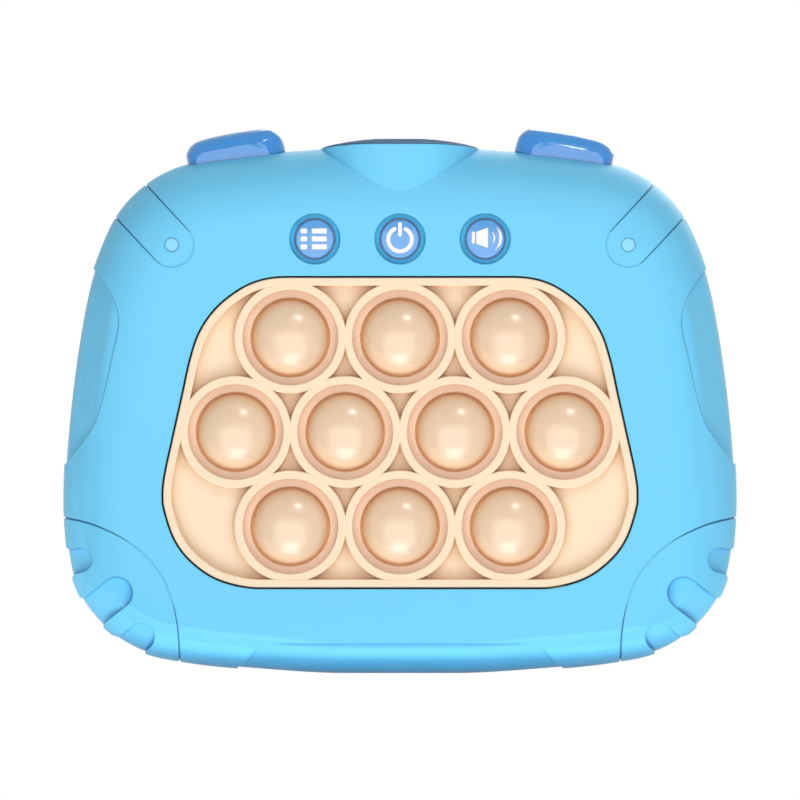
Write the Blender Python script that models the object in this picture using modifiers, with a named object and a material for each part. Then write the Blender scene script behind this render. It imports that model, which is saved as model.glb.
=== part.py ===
# Handheld electronic bubble pop game, at its real size.
# Z is up as the game is held, the front faces -Y, and the origin lies on the
# standing surface under the middle of the case.

import math

import bmesh
import bpy
from mathutils import Matrix, Vector

mm = 0.001

# Clearances
fit_gap = 0.3 * mm
overrun = 6.0 * mm
weld_distance = 0.002 * mm
flat_angle = math.radians(0.05)
sharp_angle = math.radians(35)

# Case
case_width = 169.8 * mm
case_height = 133.1 * mm
case_depth = 42.0 * mm
front_depth = 20.0 * mm
wall = 2.6 * mm
front_round = 17.5 * mm
rear_round = 14.0 * mm
foot_step = 0.5 * mm
bubble_proud = 3.0 * mm
outline_steps = 2
stadium_segments = 8
round_segments = 5
hollow_segments = 3

# Planes across the depth, from the front plane of the case to the back
front_y = -(case_depth + bubble_proud) / 2 + bubble_proud
part_y = front_y + front_depth
back_y = front_y + case_depth
case_bottom = -foot_step
case_top = case_bottom + case_height
half_width = case_width / 2

# Right half of the case outline, from the foot up to the middle of the top:
# shares of the half width and of the height
case_outline_shares = (
    (0.165, 0.0), (0.448, 0.0105), (0.636, 0.0233), (0.777, 0.0451), (0.895, 0.0984),
    (0.973, 0.1803), (1.0, 0.3193), (0.985, 0.492), (0.946, 0.6724), (0.900, 0.7889),
    (0.819, 0.8903), (0.677, 0.9579), (0.471, 0.9827), (0.236, 0.9955), (0.0, 1.0))

# Grip recess in each side, its inner border: shares of the half width and height
grip_border_shares = (
    (0.913, 0.7716), (0.855, 0.719), (0.835, 0.6687), (0.854, 0.6048), (0.883, 0.5237),
    (0.914, 0.4666), (0.995, 0.399))
grip_outer_share = 1.09
grip_inset = 0.6 * mm
grip_crease_inset = 8.9 * mm
grip_crease_depth = 2.6 * mm
grip_edge_depth = 13.5 * mm

# Three finger grooves on each lower corner: place as shares, direction, radius
groove_places_shares = ((0.9505, 0.2179), (0.842, 0.1555), (0.770, 0.0721))
groove_angles = (-14.0, -38.0, -40.0)
groove_radii = (3.1 * mm, 4.1 * mm, 3.5 * mm)
groove_length = 26.0 * mm
groove_inset = 0.7 * mm
groove_crease_inset = 7.1 * mm
groove_crease_depth = 4.2 * mm
groove_edge_depth = 14.0 * mm

# Recess under the front that the case stands on, its upper border
foot_border_shares = (
    (0.482, 0.015), (0.463, 0.0218), (0.446, 0.0346), (0.428, 0.0473), (0.400, 0.0579),
    (0.369, 0.0594))
foot_below_share = 0.06
foot_crease_inset = 6.7 * mm
foot_crease_depth = 3.6 * mm
foot_edge_depth = 13.5 * mm

# Moulded seams: the strap tab on each upper corner and the arc over each grip
seam_width = 0.6 * mm
seam_depth = 0.6 * mm
strap_place_share = (0.6784, 0.8152)
strap_angle = 47.0
strap_radius = 5.6 * mm
strap_length = 40.0 * mm
strap_dot_radius = 1.8 * mm
grip_arc_shares = (
    (1.02, 0.3013), (0.907, 0.284), (0.797, 0.2479), (0.7185, 0.1983), (0.677, 0.139),
    (0.658, 0.0729), (0.654, -0.03))

# Turret on the middle of the top, an upright ellipse, and its lens
turret_half_width = 20.3 * mm
turret_half_depth = 18.7 * mm
turret_rise = 0.3 * mm
turret_root = 20.0 * mm
turret_segments = 40
lens_rim = 0.7 * mm
lens_edge_height = 0.3 * mm
lens_crown = 1.4 * mm
lens_crown_shares = ((0.0, 1.0), (0.4, 0.82), (0.7, 0.52))
lens_shoulder_share = 0.92
lens_neck_share = 0.66
lens_neck_length = 6.0 * mm
lens_segments = 32

# Opening for the silicone pad, as shares of its half width and height
opening_side_margin = 25.0 * mm
opening_top_margin = 32.7 * mm
opening_bottom = 21.4 * mm
opening_half_width = half_width - opening_side_margin
opening_height = case_top - opening_top_margin - opening_bottom
opening_outline_shares = (
    (0.593, 0.0), (0.761, 0.0255), (0.878, 0.0841), (0.952, 0.158), (0.995, 0.2562),
    (1.0, 0.3084), (0.990, 0.3708), (0.963, 0.4664), (0.920, 0.613), (0.885, 0.734),
    (0.845, 0.8232), (0.775, 0.8997), (0.674, 0.9608), (0.58, 0.991), (0.476, 1.0))

# Silicone pad and its domes
pad_top = 0.4 * mm
pad_web_depth = 2.9 * mm
pad_web = 1.3 * mm
pad_flange = 2.6 * mm
pad_rim = 2.0 * mm
pad_overlap = 0.2 * mm
bubble_pitch = 27.64 * mm
bubble_row_pitch = 23.83 * mm
bubble_lift = 0.15 * mm
bubble_radius = 9.5 * mm
bubble_skin = 1.3 * mm
bubble_travel = 4.0 * mm
bubble_stem_radius = 2.4 * mm
bubble_arc_steps = 4
bubble_segments = 16
ring_radius = 13.6 * mm
ring_bore = 12.0 * mm
ring_drop = 0.15 * mm
ring_rim_overlap = 0.5 * mm
ring_segments = 16
pad_back = pad_web_depth + pad_web

# Retainer plate behind the pad
retainer_thickness = 2.0 * mm
retainer_bore = 10.3 * mm
retainer_post_radius = 1.8 * mm
post_segments = 10
retainer_front = pad_back + fit_gap
retainer_back = retainer_front + retainer_thickness

# Circuit board, membrane sheet and lamps
board_depth = 13.8 * mm
board_thickness = 1.6 * mm
board_half_outline_shares = (
    (0.0, 0.0), (0.85, 0.0), (1.0, 0.05), (1.0, 0.77), (0.86, 0.80), (0.80, 0.92),
    (0.13, 0.92), (0.13, 1.0), (0.0, 1.0))
board_top_margin = 11.1 * mm
board_bottom = 19.5 * mm
board_half_width = opening_half_width + pad_flange
board_top = case_top - board_top_margin
board_hole_radius = 1.6 * mm
sheet_thickness = 0.4 * mm
sheet_dome_radius = 3.5 * mm
sheet_dome_top_share = 0.5
sheet_dome_height = 0.5 * mm
sheet_dome_segments = 8
led_size = 3.0 * mm
led_height = 1.6 * mm
led_offset = 6.4 * mm
board_front = board_depth
board_back = board_depth + board_thickness
sheet_back = board_front - fit_gap
sheet_front = sheet_back - sheet_thickness
sheet_dome_top = sheet_front - sheet_dome_height
bubble_stem_tip = sheet_dome_top - fit_gap - bubble_travel

# Round control buttons above the pad
control_pitch = 21.5 * mm
control_pad_gap = 1.0 * mm
control_radius = 4.85 * mm
control_rise = 0.2 * mm
control_crown = 0.5 * mm
control_crown_shares = ((0.0, 1.0), (0.5, 0.8), (0.85, 0.35))
control_well_radius = 6.4 * mm
control_well_depth = 1.6 * mm
control_flange = 1.0 * mm
control_flange_width = 1.15 * mm
control_z = (case_top - opening_top_margin + pad_flange + control_pad_gap
             + control_flange_width + control_radius)
control_stem_radius = 1.8 * mm
control_travel = 1.2 * mm
control_segments = 18
switch_size = 6.0 * mm
switch_body = 3.2 * mm
switch_knob = 1.7 * mm
switch_knob_height = 0.9 * mm
switch_front = board_front - fit_gap - switch_body - switch_knob_height
control_stem_tip = switch_front - fit_gap - control_travel

# Shoulder buttons: middle and slope of the base line, as shares of the case, and the
# cap outline as shares of the cap's half width and height
shoulder_place_share = (0.4865, 0.9812)
shoulder_slope_share = 0.0772
shoulder_half_width = 12.5 * mm
shoulder_height = 6.4 * mm
shoulder_depth = 12.0 * mm
shoulder_root = 4.0 * mm
shoulder_edge = 3.2 * mm
shoulder_edge_segments = 3
shoulder_travel = 2.0 * mm
shoulder_cap_shares = (
    (-0.992, 0.0), (-1.0, 0.28), (-0.956, 0.486), (-0.867, 0.678), (-0.67, 0.842),
    (-0.15, 0.963), (0.474, 1.0), (0.766, 0.945), (0.922, 0.681), (0.979, 0.3625), (1.0, 0.0))
shoulder_ear_width = 1.6 * mm
shoulder_ear_depth = 10.0 * mm
shoulder_ear_drop = 4.6 * mm
shoulder_ear_thickness = 1.6 * mm
shoulder_core_margin = 2.0 * mm
shoulder_plunger = 3.6 * mm
shoulder_switch_drop = 17.1 * mm

# Lamp under the lens, behind the tongue of the board
window_led_radius = 2.5 * mm
window_led_bend_share = 0.7
lamp_segments = 12
window_led_length = 7.0 * mm
window_led_drop = 7.6 * mm

# Screws, their bosses and wells
board_screw_high_inset = (14.5 * mm, 19.5 * mm)
board_screw_low_inset = (3.9 * mm, 5.0 * mm)
case_screw_places_shares = ((0.7185, 0.8077), (0.866, 0.4696), (0.790, 0.128))
board_boss_radius = 2.8 * mm
case_boss_radius = 3.3 * mm
rear_boss_radius = 4.3 * mm
screw_radius = 1.2 * mm
screw_head_radius = 2.5 * mm
screw_head_height = 1.8 * mm
screw_bore_radius = 1.5 * mm
screw_well_radius = 3.0 * mm
screw_well_depth = 13.0 * mm
case_screw_reach = 9.0 * mm
board_screw_reach = 6.0 * mm
bore_end_gap = 1.0 * mm
screw_segments = 10
seam_dot_segments = 10

# Battery cells and their tray
cell_radius = 5.25 * mm
cell_length = 44.5 * mm
cell_nub_radius = 1.9 * mm
cell_nub = 1.0 * mm
cell_pitch = 11.0 * mm
cell_count = 3
cell_segments = 16
contact_plate = 0.5 * mm
contact_half_height = 4.2 * mm
contact_spring = 3.0 * mm
contact_spring_radius = 3.2 * mm
contact_spring_tip_radius = 2.2 * mm
contact_bump = 0.6 * mm
contact_bump_radius = 1.6 * mm
contact_bump_tip_share = 0.5
contact_segments = 12
tray_middle_z = 66.0 * mm
tray_wall = 1.5 * mm
tray_tab_room = 3.2 * mm
tray_foot_room = 2.0 * mm

# Battery door
door_thickness = 1.8 * mm
door_margin = 1.2 * mm
door_corner = 2.0 * mm
door_corner_steps = 3
door_tongue_steps = 6
door_tongue_radius = 5.0 * mm
door_tongue_rise = 3.2 * mm
door_tab_width = 6.0 * mm
door_tab_spread = 15.0 * mm
door_tab_length = 2.2 * mm
door_tab_thickness = 1.2 * mm
door_tab_rise = 1.0 * mm
door_screw_radius = 1.0 * mm
door_screw_head_radius = 2.2 * mm
door_screw_head = 1.0 * mm
door_screw_sunk = 0.1 * mm
door_screw_reach = 4.6 * mm
door_bore_radius = 1.8 * mm
door_boss_radius = 3.8 * mm
door_boss_length = 7.0 * mm

# Loudspeaker
speaker_z = 27.0 * mm
speaker_radius = 13.0 * mm
speaker_frame = 1.4 * mm
speaker_cone_radius = 9.5 * mm
speaker_cone = 3.0 * mm
speaker_magnet_radius = 7.0 * mm
speaker_magnet = 3.0 * mm
speaker_ring_wall = 1.4 * mm
speaker_ring_length = 4.0 * mm
grille_radius = 1.0 * mm
grille_pitch = 4.0 * mm
grille_ring_counts = (1, 6, 12)
grille_segments = 6
speaker_segments = 18


def srgb(red, green, blue):
    """A display colour from 0 to 255 as the linear colour that a shader takes."""
    channels = []
    for channel in (red, green, blue):
        share = channel / 255
        channels.append(share / 12.92 if share <= 0.04045 else ((share + 0.055) / 1.055) ** 2.4)
    return (*channels, 1.0)


# Materials: colour, roughness, metallic
finishes = {
    "case_blue": (srgb(137, 221, 255), 0.38, 0.0),
    "silicone_cream": (srgb(250, 228, 196), 0.55, 0.0),
    "bubble_cream": (srgb(238, 208, 176), 0.5, 0.0),
    "button_blue": (srgb(110, 178, 236), 0.25, 0.0),
    "shoulder_blue": (srgb(93, 157, 219), 0.12, 0.0),
    "lens_blue": (srgb(78, 128, 172), 0.1, 0.0),
    "board_green": (srgb(24, 92, 58), 0.5, 0.0),
    "retainer_white": (srgb(225, 225, 220), 0.5, 0.0),
    "membrane_grey": (srgb(150, 152, 155), 0.5, 0.0),
    "led_white": (srgb(245, 242, 225), 0.3, 0.0),
    "switch_black": (srgb(30, 30, 32), 0.5, 0.0),
    "steel": (srgb(190, 192, 196), 0.3, 1.0),
    "battery_green": (srgb(40, 120, 70), 0.35, 0.0),
    "speaker_black": (srgb(35, 35, 38), 0.6, 0.0),
}


def start_collections():
    """Empty the scene and make one collection for the pieces and one for the cutters."""
    for old in list(bpy.data.objects):
        bpy.data.objects.remove(old, do_unlink=True)
    collections = []
    for name in ("bubble_pop_game", "cutters"):
        collection = bpy.data.collections.new(name)
        bpy.context.scene.collection.children.link(collection)
        collections.append(collection)
    return collections


pieces, cutters = start_collections()


def finish_material(name):
    """The named Principled material, made once."""
    material = bpy.data.materials.get(name)
    if material is None:
        material = bpy.data.materials.new(name)
        material.use_nodes = True
        colour, roughness, metallic = finishes[name]
        shader = material.node_tree.nodes["Principled BSDF"]
        shader.inputs["Base Color"].default_value = colour
        shader.inputs["Roughness"].default_value = roughness
        shader.inputs["Metallic"].default_value = metallic
    return material


def new_object(name, mesh, place=(0, 0, 0), turn=(0, 0, 0)):
    """An object for a mesh, kept among the cutters until it is finished as a piece."""
    made = bpy.data.objects.new(name, mesh)
    made.location = place
    made.rotation_euler = turn
    made.hide_render = True
    made.display_type = "WIRE"
    cutters.objects.link(made)
    return made


def piece(made, name, finish):
    """Turn a shape into a finished piece of the game."""
    made.name = name
    made.data.name = name
    made.hide_render = False
    made.display_type = "TEXTURED"
    cutters.objects.unlink(made)
    pieces.objects.link(made)
    made.data.materials.clear()
    made.data.materials.append(finish_material(finish))
    made.data.shade_smooth()
    made.data.set_sharp_from_angle(angle=sharp_angle)
    return made


def settled(made):
    """The same object with its modifiers or its curve turned into a plain closed mesh."""
    bpy.context.view_layer.update()
    evaluated = made.evaluated_get(bpy.context.evaluated_depsgraph_get())
    mesh = bpy.data.meshes.new_from_object(evaluated)
    shape = bmesh.new()
    shape.from_mesh(mesh)
    bmesh.ops.remove_doubles(shape, verts=shape.verts, dist=weld_distance)
    bmesh.ops.dissolve_degenerate(shape, edges=shape.edges, dist=weld_distance)
    bmesh.ops.recalc_face_normals(shape, faces=shape.faces)
    shape.to_mesh(mesh)
    shape.free()
    plain = new_object(made.name, mesh)
    plain.matrix_world = made.matrix_world.copy()
    bpy.data.objects.remove(made, do_unlink=True)
    return plain


def flattened(made):
    """The same mesh with its flat areas merged and divided again into few triangles."""
    shape = bmesh.new()
    shape.from_mesh(made.data)
    bmesh.ops.dissolve_limit(
        shape, angle_limit=flat_angle, use_dissolve_boundaries=False,
        verts=shape.verts, edges=shape.edges)
    bmesh.ops.triangulate(shape, faces=shape.faces, ngon_method="EAR_CLIP")
    shape.to_mesh(made.data)
    shape.free()
    return made


def move_origin(made, place):
    """Put an object's origin at a place without moving its shape."""
    made.data.transform(Matrix.Translation(-Vector(place)) @ made.matrix_world)
    made.matrix_world = Matrix.Translation(place)


def combine(target, operation, *tools):
    """Add a Boolean modifier to the target for each tool."""
    for tool in tools:
        modifier = target.modifiers.new(operation.lower(), "BOOLEAN")
        modifier.operation = operation
        modifier.solver = "EXACT"
        modifier.object = tool
    return target


# Outlines are lists of 2D points, X to the right and Z up

def smooth_chain(knots, before, after, steps):
    """Points on a smooth curve through the knots; before and after set its end slopes."""
    chain = [before, *knots, after]
    points = []
    for lead, start, end, trail in zip(chain, chain[1:], chain[2:], chain[3:]):
        for step in range(steps):
            t = step / steps
            slope = (end - lead) * t
            bend = (lead * 2 - start * 5 + end * 4 - trail) * t ** 2
            twist = (start * 3 - lead - end * 3 + trail) * t ** 3
            points.append((start * 2 + slope + bend + twist) / 2)
    points.append(knots[-1])
    return points


def mirrored(point):
    return Vector((-point.x, point.y))


def level_guide(end, neighbour):
    """The guide that makes a curve leave its end knot level."""
    return Vector((2 * end.x - neighbour.x, neighbour.y))


def symmetric_loop(knots, steps):
    """A closed outline from the knots of its right half, bottom to top."""
    before = level_guide(knots[0], knots[1])
    after = level_guide(knots[-1], knots[-2])
    right = smooth_chain(knots, before, after, steps)
    left = [mirrored(point) for point in reversed(right) if point.x > 0]
    return right + left


def case_point(share):
    """A place on the case front from its shares of the half width and height."""
    return Vector((share[0] * half_width, case_bottom + share[1] * case_height))


def offset_loop(loop, distance):
    """The closed outline moved outwards by a distance, inwards where it is negative."""
    moved = []
    for before, point, after in zip([loop[-1], *loop], loop, [*loop[1:], loop[0]]):
        into = (point - before).normalized()
        out = (after - point).normalized()
        normal = Vector((into.y + out.y, -into.x - out.x))
        moved.append(point + normal * (distance / (1 + into.dot(out))))
    return moved


def circle_loop(centre, radius, segments):
    turns = [2 * math.pi * index / segments for index in range(segments)]
    return [Vector(centre) + Vector((math.cos(turn), math.sin(turn))) * radius for turn in turns]


def stadium_loop(centre, radius, angle, length):
    """A strip with one round end at the centre, running away at an angle in degrees."""
    along = Vector((math.cos(math.radians(angle)), math.sin(math.radians(angle))))
    far = Vector(centre) + along * length
    side = Vector((-along.y, along.x)) * radius
    loop = [far - side, far + side]
    for index in range(stadium_segments + 1):
        turn = math.radians(angle + 90) + math.pi * index / stadium_segments
        loop.append(Vector(centre) + Vector((math.cos(turn), math.sin(turn))) * radius)
    return loop


def ribbon_loop(path, width):
    """A closed strip of one width along an open path."""
    near, far = [], []
    for index, point in enumerate(path):
        before = path[max(index - 1, 0)]
        after = path[min(index + 1, len(path) - 1)]
        along = (after - before).normalized()
        side = Vector((-along.y, along.x)) * (width / 2)
        near.append(point - side)
        far.append(point + side)
    return near + far[::-1]


def both_sides(loop):
    """The outline and its mirror image across the middle of the case."""
    return [loop, [mirrored(point) for point in reversed(loop)]]


# Solids

def slab(name, loops, near_y, far_y):
    """Closed outlines filled and given a thickness from near_y to far_y."""
    curve = bpy.data.curves.new(name, "CURVE")
    curve.dimensions = "2D"
    curve.fill_mode = "BOTH"
    curve.extrude = (far_y - near_y) / 2
    for loop in loops:
        spline = curve.splines.new("POLY")
        spline.points.add(len(loop) - 1)
        for target, point in zip(spline.points, loop):
            target.co = (point.x, point.y, 0, 1)
        spline.use_cyclic_u = True
    middle = (0, (near_y + far_y) / 2, 0)
    return settled(new_object(name, curve, middle, (math.pi / 2, 0, 0)))


def box(name, size, centre, tilt=0):
    """A box, turned by tilt radians about Y at its centre."""
    shape = bmesh.new()
    bmesh.ops.create_cube(shape, size=1)
    bmesh.ops.scale(shape, verts=shape.verts, vec=size)
    mesh = bpy.data.meshes.new(name)
    shape.to_mesh(mesh)
    shape.free()
    return new_object(name, mesh, centre, (0, tilt, 0))


def rods(name, centres, radius, near_y, far_y, segments, tip_radius=None):
    """Round rods along Y at each (X, Z) centre; tip_radius is the radius at near_y."""
    shape = bmesh.new()
    tip = radius if tip_radius is None else tip_radius
    middle_y = (near_y + far_y) / 2
    for centre in centres:
        place = Matrix.Translation((centre[0], middle_y, centre[1]))
        turn = Matrix.Rotation(math.pi / 2, 4, "X")
        bmesh.ops.create_cone(
            shape, cap_ends=True, segments=segments, radius1=radius, radius2=tip,
            depth=far_y - near_y, matrix=place @ turn)
    mesh = bpy.data.meshes.new(name)
    shape.to_mesh(mesh)
    shape.free()
    return new_object(name, mesh)


def turned(name, profile, segments, place, turn):
    """A profile of (radius, height) points, top to bottom, spun round its own Z axis."""
    shape = bmesh.new()
    rim = [shape.verts.new((radius, 0, height)) for radius, height in profile]
    for upper, lower in zip(rim, rim[1:]):
        shape.edges.new((upper, lower))
    mesh = bpy.data.meshes.new(name)
    shape.to_mesh(mesh)
    shape.free()
    made = new_object(name, mesh, place, turn)
    screw = made.modifiers.new("turn", "SCREW")
    screw.axis = "Z"
    screw.steps = segments
    screw.render_steps = segments
    screw.use_merge_vertices = True
    screw.merge_threshold = weld_distance
    return settled(made)


facing_front = (math.pi / 2, 0, 0)
facing_back = (-math.pi / 2, 0, 0)
facing_right = (0, math.pi / 2, 0)
facing_left = (0, -math.pi / 2, 0)

case_knots = [case_point(share) for share in case_outline_shares]
case_loop = symmetric_loop(case_knots, outline_steps)
hollow_loop = symmetric_loop(case_knots, 1)


def extruded(loop, near_y, far_y):
    """A bmesh of one outline, filled and extruded, and its front and rear faces."""
    shape = bmesh.new()
    corners = [shape.verts.new((point.x, far_y, point.y)) for point in loop]
    rear = shape.faces.new(corners)
    moved = bmesh.ops.extrude_face_region(shape, geom=[rear], use_keep_orig=True)
    lifted = [item for item in moved["geom"] if isinstance(item, bmesh.types.BMVert)]
    bmesh.ops.translate(shape, verts=lifted, vec=(0, near_y - far_y, 0))
    bmesh.ops.recalc_face_normals(shape, faces=shape.faces)
    front = next(item for item in moved["geom"] if isinstance(item, bmesh.types.BMFace))
    return shape, front, rear


def rounded(name, loop, near_y, far_y, front_radius, rear_radius, segments):
    """An extruded outline with round front and rear edges."""
    shape, front, rear = extruded(loop, near_y, far_y)
    for face, radius in ((front, front_radius), (rear, rear_radius)):
        bmesh.ops.bevel(
            shape, geom=list(face.edges), offset=radius, segments=segments, profile=0.5,
            affect="EDGES", clamp_overlap=False, material=-1)
    bmesh.ops.recalc_face_normals(shape, faces=shape.faces)
    mesh = bpy.data.meshes.new(name)
    shape.to_mesh(mesh)
    shape.free()
    return new_object(name, mesh)


def rounded_case(name, loop, inset, segments):
    """The whole case, moved inwards by an inset."""
    return rounded(
        name, offset_loop(loop, -inset), front_y + inset, back_y - inset,
        front_round - inset, rear_round - inset, segments)


def chamfered_case(name, edge_inset, edge_depth, crease_inset, crease_depth):
    """The case with flat chamfers, which is what stays under a recess or groove."""
    rear_share = rear_round / front_round
    shape, front, rear = extruded(
        offset_loop(case_loop, -edge_inset), front_y + edge_depth,
        back_y - edge_depth * rear_share)
    for face, share in ((front, 1), (rear, rear_share)):
        bmesh.ops.inset_region(
            shape, faces=[face], use_even_offset=True, use_boundary=True,
            thickness=(crease_inset - edge_inset) * share,
            depth=(edge_depth - crease_depth) * share)
    bmesh.ops.recalc_face_normals(shape, faces=shape.faces)
    mesh = bpy.data.meshes.new(name)
    shape.to_mesh(mesh)
    shape.free()
    return new_object(name, mesh)


through_front = front_y - overrun
through_back = back_y + overrun
turret_top = case_top + turret_rise


def recess_cutter(name, loops, core, far_y=through_back):
    """What is cut away inside the loops, down to the core that stays."""
    region = slab(name, loops, through_front, far_y)
    return settled(combine(region, "DIFFERENCE", core))


# Whole outer form of the case, before it is split into two shells

def grip_loops():
    border = [case_point(share) for share in grip_border_shares]
    inner = smooth_chain(border, border[0], border[-1], outline_steps)
    outer = [Vector((grip_outer_share * half_width, border[end].y)) for end in (-1, 0)]
    return both_sides(inner + outer)


def groove_loops(margin):
    """Outlines of the finger grooves, grown by a margin."""
    loops = []
    for place, angle, radius in zip(groove_places_shares, groove_angles, groove_radii):
        groove = stadium_loop(case_point(place), radius + margin, angle, groove_length)
        loops += both_sides(groove)
    return loops


def foot_loops():
    border = [case_point(share) for share in foot_border_shares]
    below = Vector((border[0].x, case_bottom - foot_below_share * case_height))
    right = [below, *border]
    return [right + [mirrored(point) for point in reversed(right)]]


def seam_loops():
    centre = case_point(strap_place_share)
    path = stadium_loop(centre, strap_radius, strap_angle, strap_length)
    strap = path[1:] + path[:1]
    arc_knots = [case_point(share) for share in grip_arc_shares]
    arc = smooth_chain(arc_knots, arc_knots[0], arc_knots[-1], outline_steps)
    dot = circle_loop(centre, strap_dot_radius, seam_dot_segments)
    loops = []
    for line in (ribbon_loop(strap, seam_width), ribbon_loop(arc, seam_width), dot):
        loops += both_sides(line)
    return loops


def turret():
    """The upright elliptic turret, from its root inside the case up to the lens."""
    shape = bmesh.new()
    bmesh.ops.create_cone(
        shape, cap_ends=True, segments=turret_segments, radius1=1, radius2=1, depth=turret_root,
        matrix=Matrix.Diagonal((turret_half_width, turret_half_depth, 1, 1)))
    mesh = bpy.data.meshes.new("turret")
    shape.to_mesh(mesh)
    shape.free()
    return new_object("turret", mesh, (0, part_y, turret_top - turret_root / 2))


def case_body():
    body = rounded_case("case_body", case_loop, 0, round_segments)
    grip_core = chamfered_case(
        "grip_core", grip_inset, grip_edge_depth, grip_crease_inset, grip_crease_depth)
    groove_core = chamfered_case(
        "groove_core", groove_inset, groove_edge_depth, groove_crease_inset, groove_crease_depth)
    foot_core = chamfered_case(
        "foot_core", foot_step, foot_edge_depth, foot_crease_inset, foot_crease_depth)
    seam_core = rounded_case("seam_core", case_loop, seam_depth, round_segments)
    combine(body, "UNION", turret())
    combine(
        body, "DIFFERENCE",
        recess_cutter("grip_recesses", grip_loops(), grip_core),
        recess_cutter("finger_grooves", groove_loops(0), groove_core),
        recess_cutter("foot_recess", foot_loops(), foot_core),
        recess_cutter("seams", seam_loops(), seam_core, part_y))
    return settled(body)


def half_case(body, name, near_y, far_y):
    """The part of the body between two depths, as a new solid."""
    reach = case_width + overrun
    keep = box(name + "_keep", (reach, far_y - near_y, reach), (0, (near_y + far_y) / 2, case_top / 2))
    copy = new_object(name, body.data.copy())
    return settled(combine(copy, "INTERSECT", keep))


def lens_opening():
    """The hole in the top of the turret that the lens drops into."""
    shape = bmesh.new()
    neck = lens_neck_share
    bmesh.ops.create_cone(
        shape, cap_ends=True, segments=lens_segments, radius1=1, radius2=1, depth=turret_root,
        matrix=Matrix.Diagonal((
            turret_half_width * neck + fit_gap, turret_half_depth * neck + fit_gap, 1, 1)))
    mesh = bpy.data.meshes.new("lens_opening")
    shape.to_mesh(mesh)
    shape.free()
    return new_object("lens_opening", mesh, (0, part_y, case_top))


shoulder_place = case_point(shoulder_place_share)
shoulder_turn = math.atan(shoulder_slope_share * case_height / half_width)
shoulder_switch_top = shoulder_place.y - shoulder_switch_drop


def shoulder_point(side, across, up):
    """A place on a shoulder button from its own axes; side is -1 left, 1 right."""
    x = -shoulder_place.x + across * math.cos(shoulder_turn) - up * math.sin(shoulder_turn)
    z = shoulder_place.y + across * math.sin(shoulder_turn) + up * math.cos(shoulder_turn)
    return Vector((-side * x, z))


def shoulder_frame(side, left, right, low, high):
    """A box outline in the button's own axes."""
    corners = ((left, low), (right, low), (right, high), (left, high))
    return [shoulder_point(side, across, up) for across, up in corners]


def shoulder_slot(side):
    reach = shoulder_half_width + fit_gap
    loop = shoulder_frame(side, -reach, reach, -shoulder_root - overrun / 2, overrun)
    half = shoulder_depth / 2 + fit_gap
    return slab("shoulder_slot", [loop], part_y - half, part_y + half)


def mirrored_places(places):
    """Each place on the right and its mirror image on the left."""
    return [place for right in places for place in (right, mirrored(right))]


board_screw_high = Vector((board_half_width, board_top)) - Vector(board_screw_high_inset)
board_screw_low = Vector((
    board_half_width - board_screw_low_inset[0], board_bottom + board_screw_low_inset[1]))
board_screw_places = mirrored_places([board_screw_high, board_screw_low])
case_screw_places = mirrored_places([case_point(share) for share in case_screw_places_shares])
opening_knots = [
    Vector((x * opening_half_width, opening_bottom + z * opening_height))
    for x, z in opening_outline_shares]
opening_loop = symmetric_loop(opening_knots, outline_steps)
plate_loop = symmetric_loop(opening_knots, 1)
control_places = [(index * control_pitch, control_z) for index in (-1, 0, 1)]
case_screw_tip = front_y + case_screw_reach
board_screw_tip = front_y + board_screw_reach


def make_front_shell(body, cavity):
    shell = half_case(body, "front_shell", through_front, part_y - fit_gap / 2)
    hollow = new_object("front_cavity", cavity.data.copy())
    groove_backs = [
        slab(f"groove_back_{number}", [loop], through_front, front_y + groove_crease_depth + wall)
        for number, loop in enumerate(groove_loops(wall))]
    combine(
        hollow, "DIFFERENCE", *groove_backs,
        rods("board_bosses", board_screw_places, board_boss_radius, through_front,
             front_y + board_front - fit_gap, screw_segments),
        rods("case_bosses", case_screw_places, case_boss_radius, through_front,
             part_y - fit_gap / 2, screw_segments))
    combine(
        shell, "DIFFERENCE", hollow,
        slab("pad_opening", [opening_loop], through_front, part_y),
        rods("control_wells", control_places, control_well_radius, through_front,
             front_y + control_well_depth, control_segments),
        rods("control_bores", control_places, control_radius + fit_gap, through_front,
             front_y + wall + fit_gap, control_segments),
        rods("case_screw_bores", case_screw_places, screw_bore_radius,
             case_screw_tip - bore_end_gap, part_y, screw_segments),
        rods("board_screw_bores", board_screw_places, screw_bore_radius,
             board_screw_tip - bore_end_gap, part_y, screw_segments),
        lens_opening(), shoulder_slot(-1), shoulder_slot(1))
    return piece(settled(shell), "front_shell", "case_blue")


# Battery tray in the rear shell

tray_half_length = (cell_length + contact_spring + contact_bump) / 2 + contact_plate + 2 * fit_gap
tray_half_height = (cell_count * cell_pitch) / 2 + fit_gap
tray_top = tray_middle_z + tray_half_height
tray_opening_bottom = tray_middle_z - tray_half_height - tray_foot_room
tray_bottom = tray_opening_bottom - tray_tab_room
door_back = back_y
door_front = back_y - door_thickness
cell_y = door_front - fit_gap - cell_radius
tray_floor_y = cell_y - cell_radius - fit_gap
door_screw_z = tray_top + door_margin + door_tongue_rise
door_bottom = tray_opening_bottom + fit_gap
door_hinge_z = tray_opening_bottom + fit_gap / 2


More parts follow.
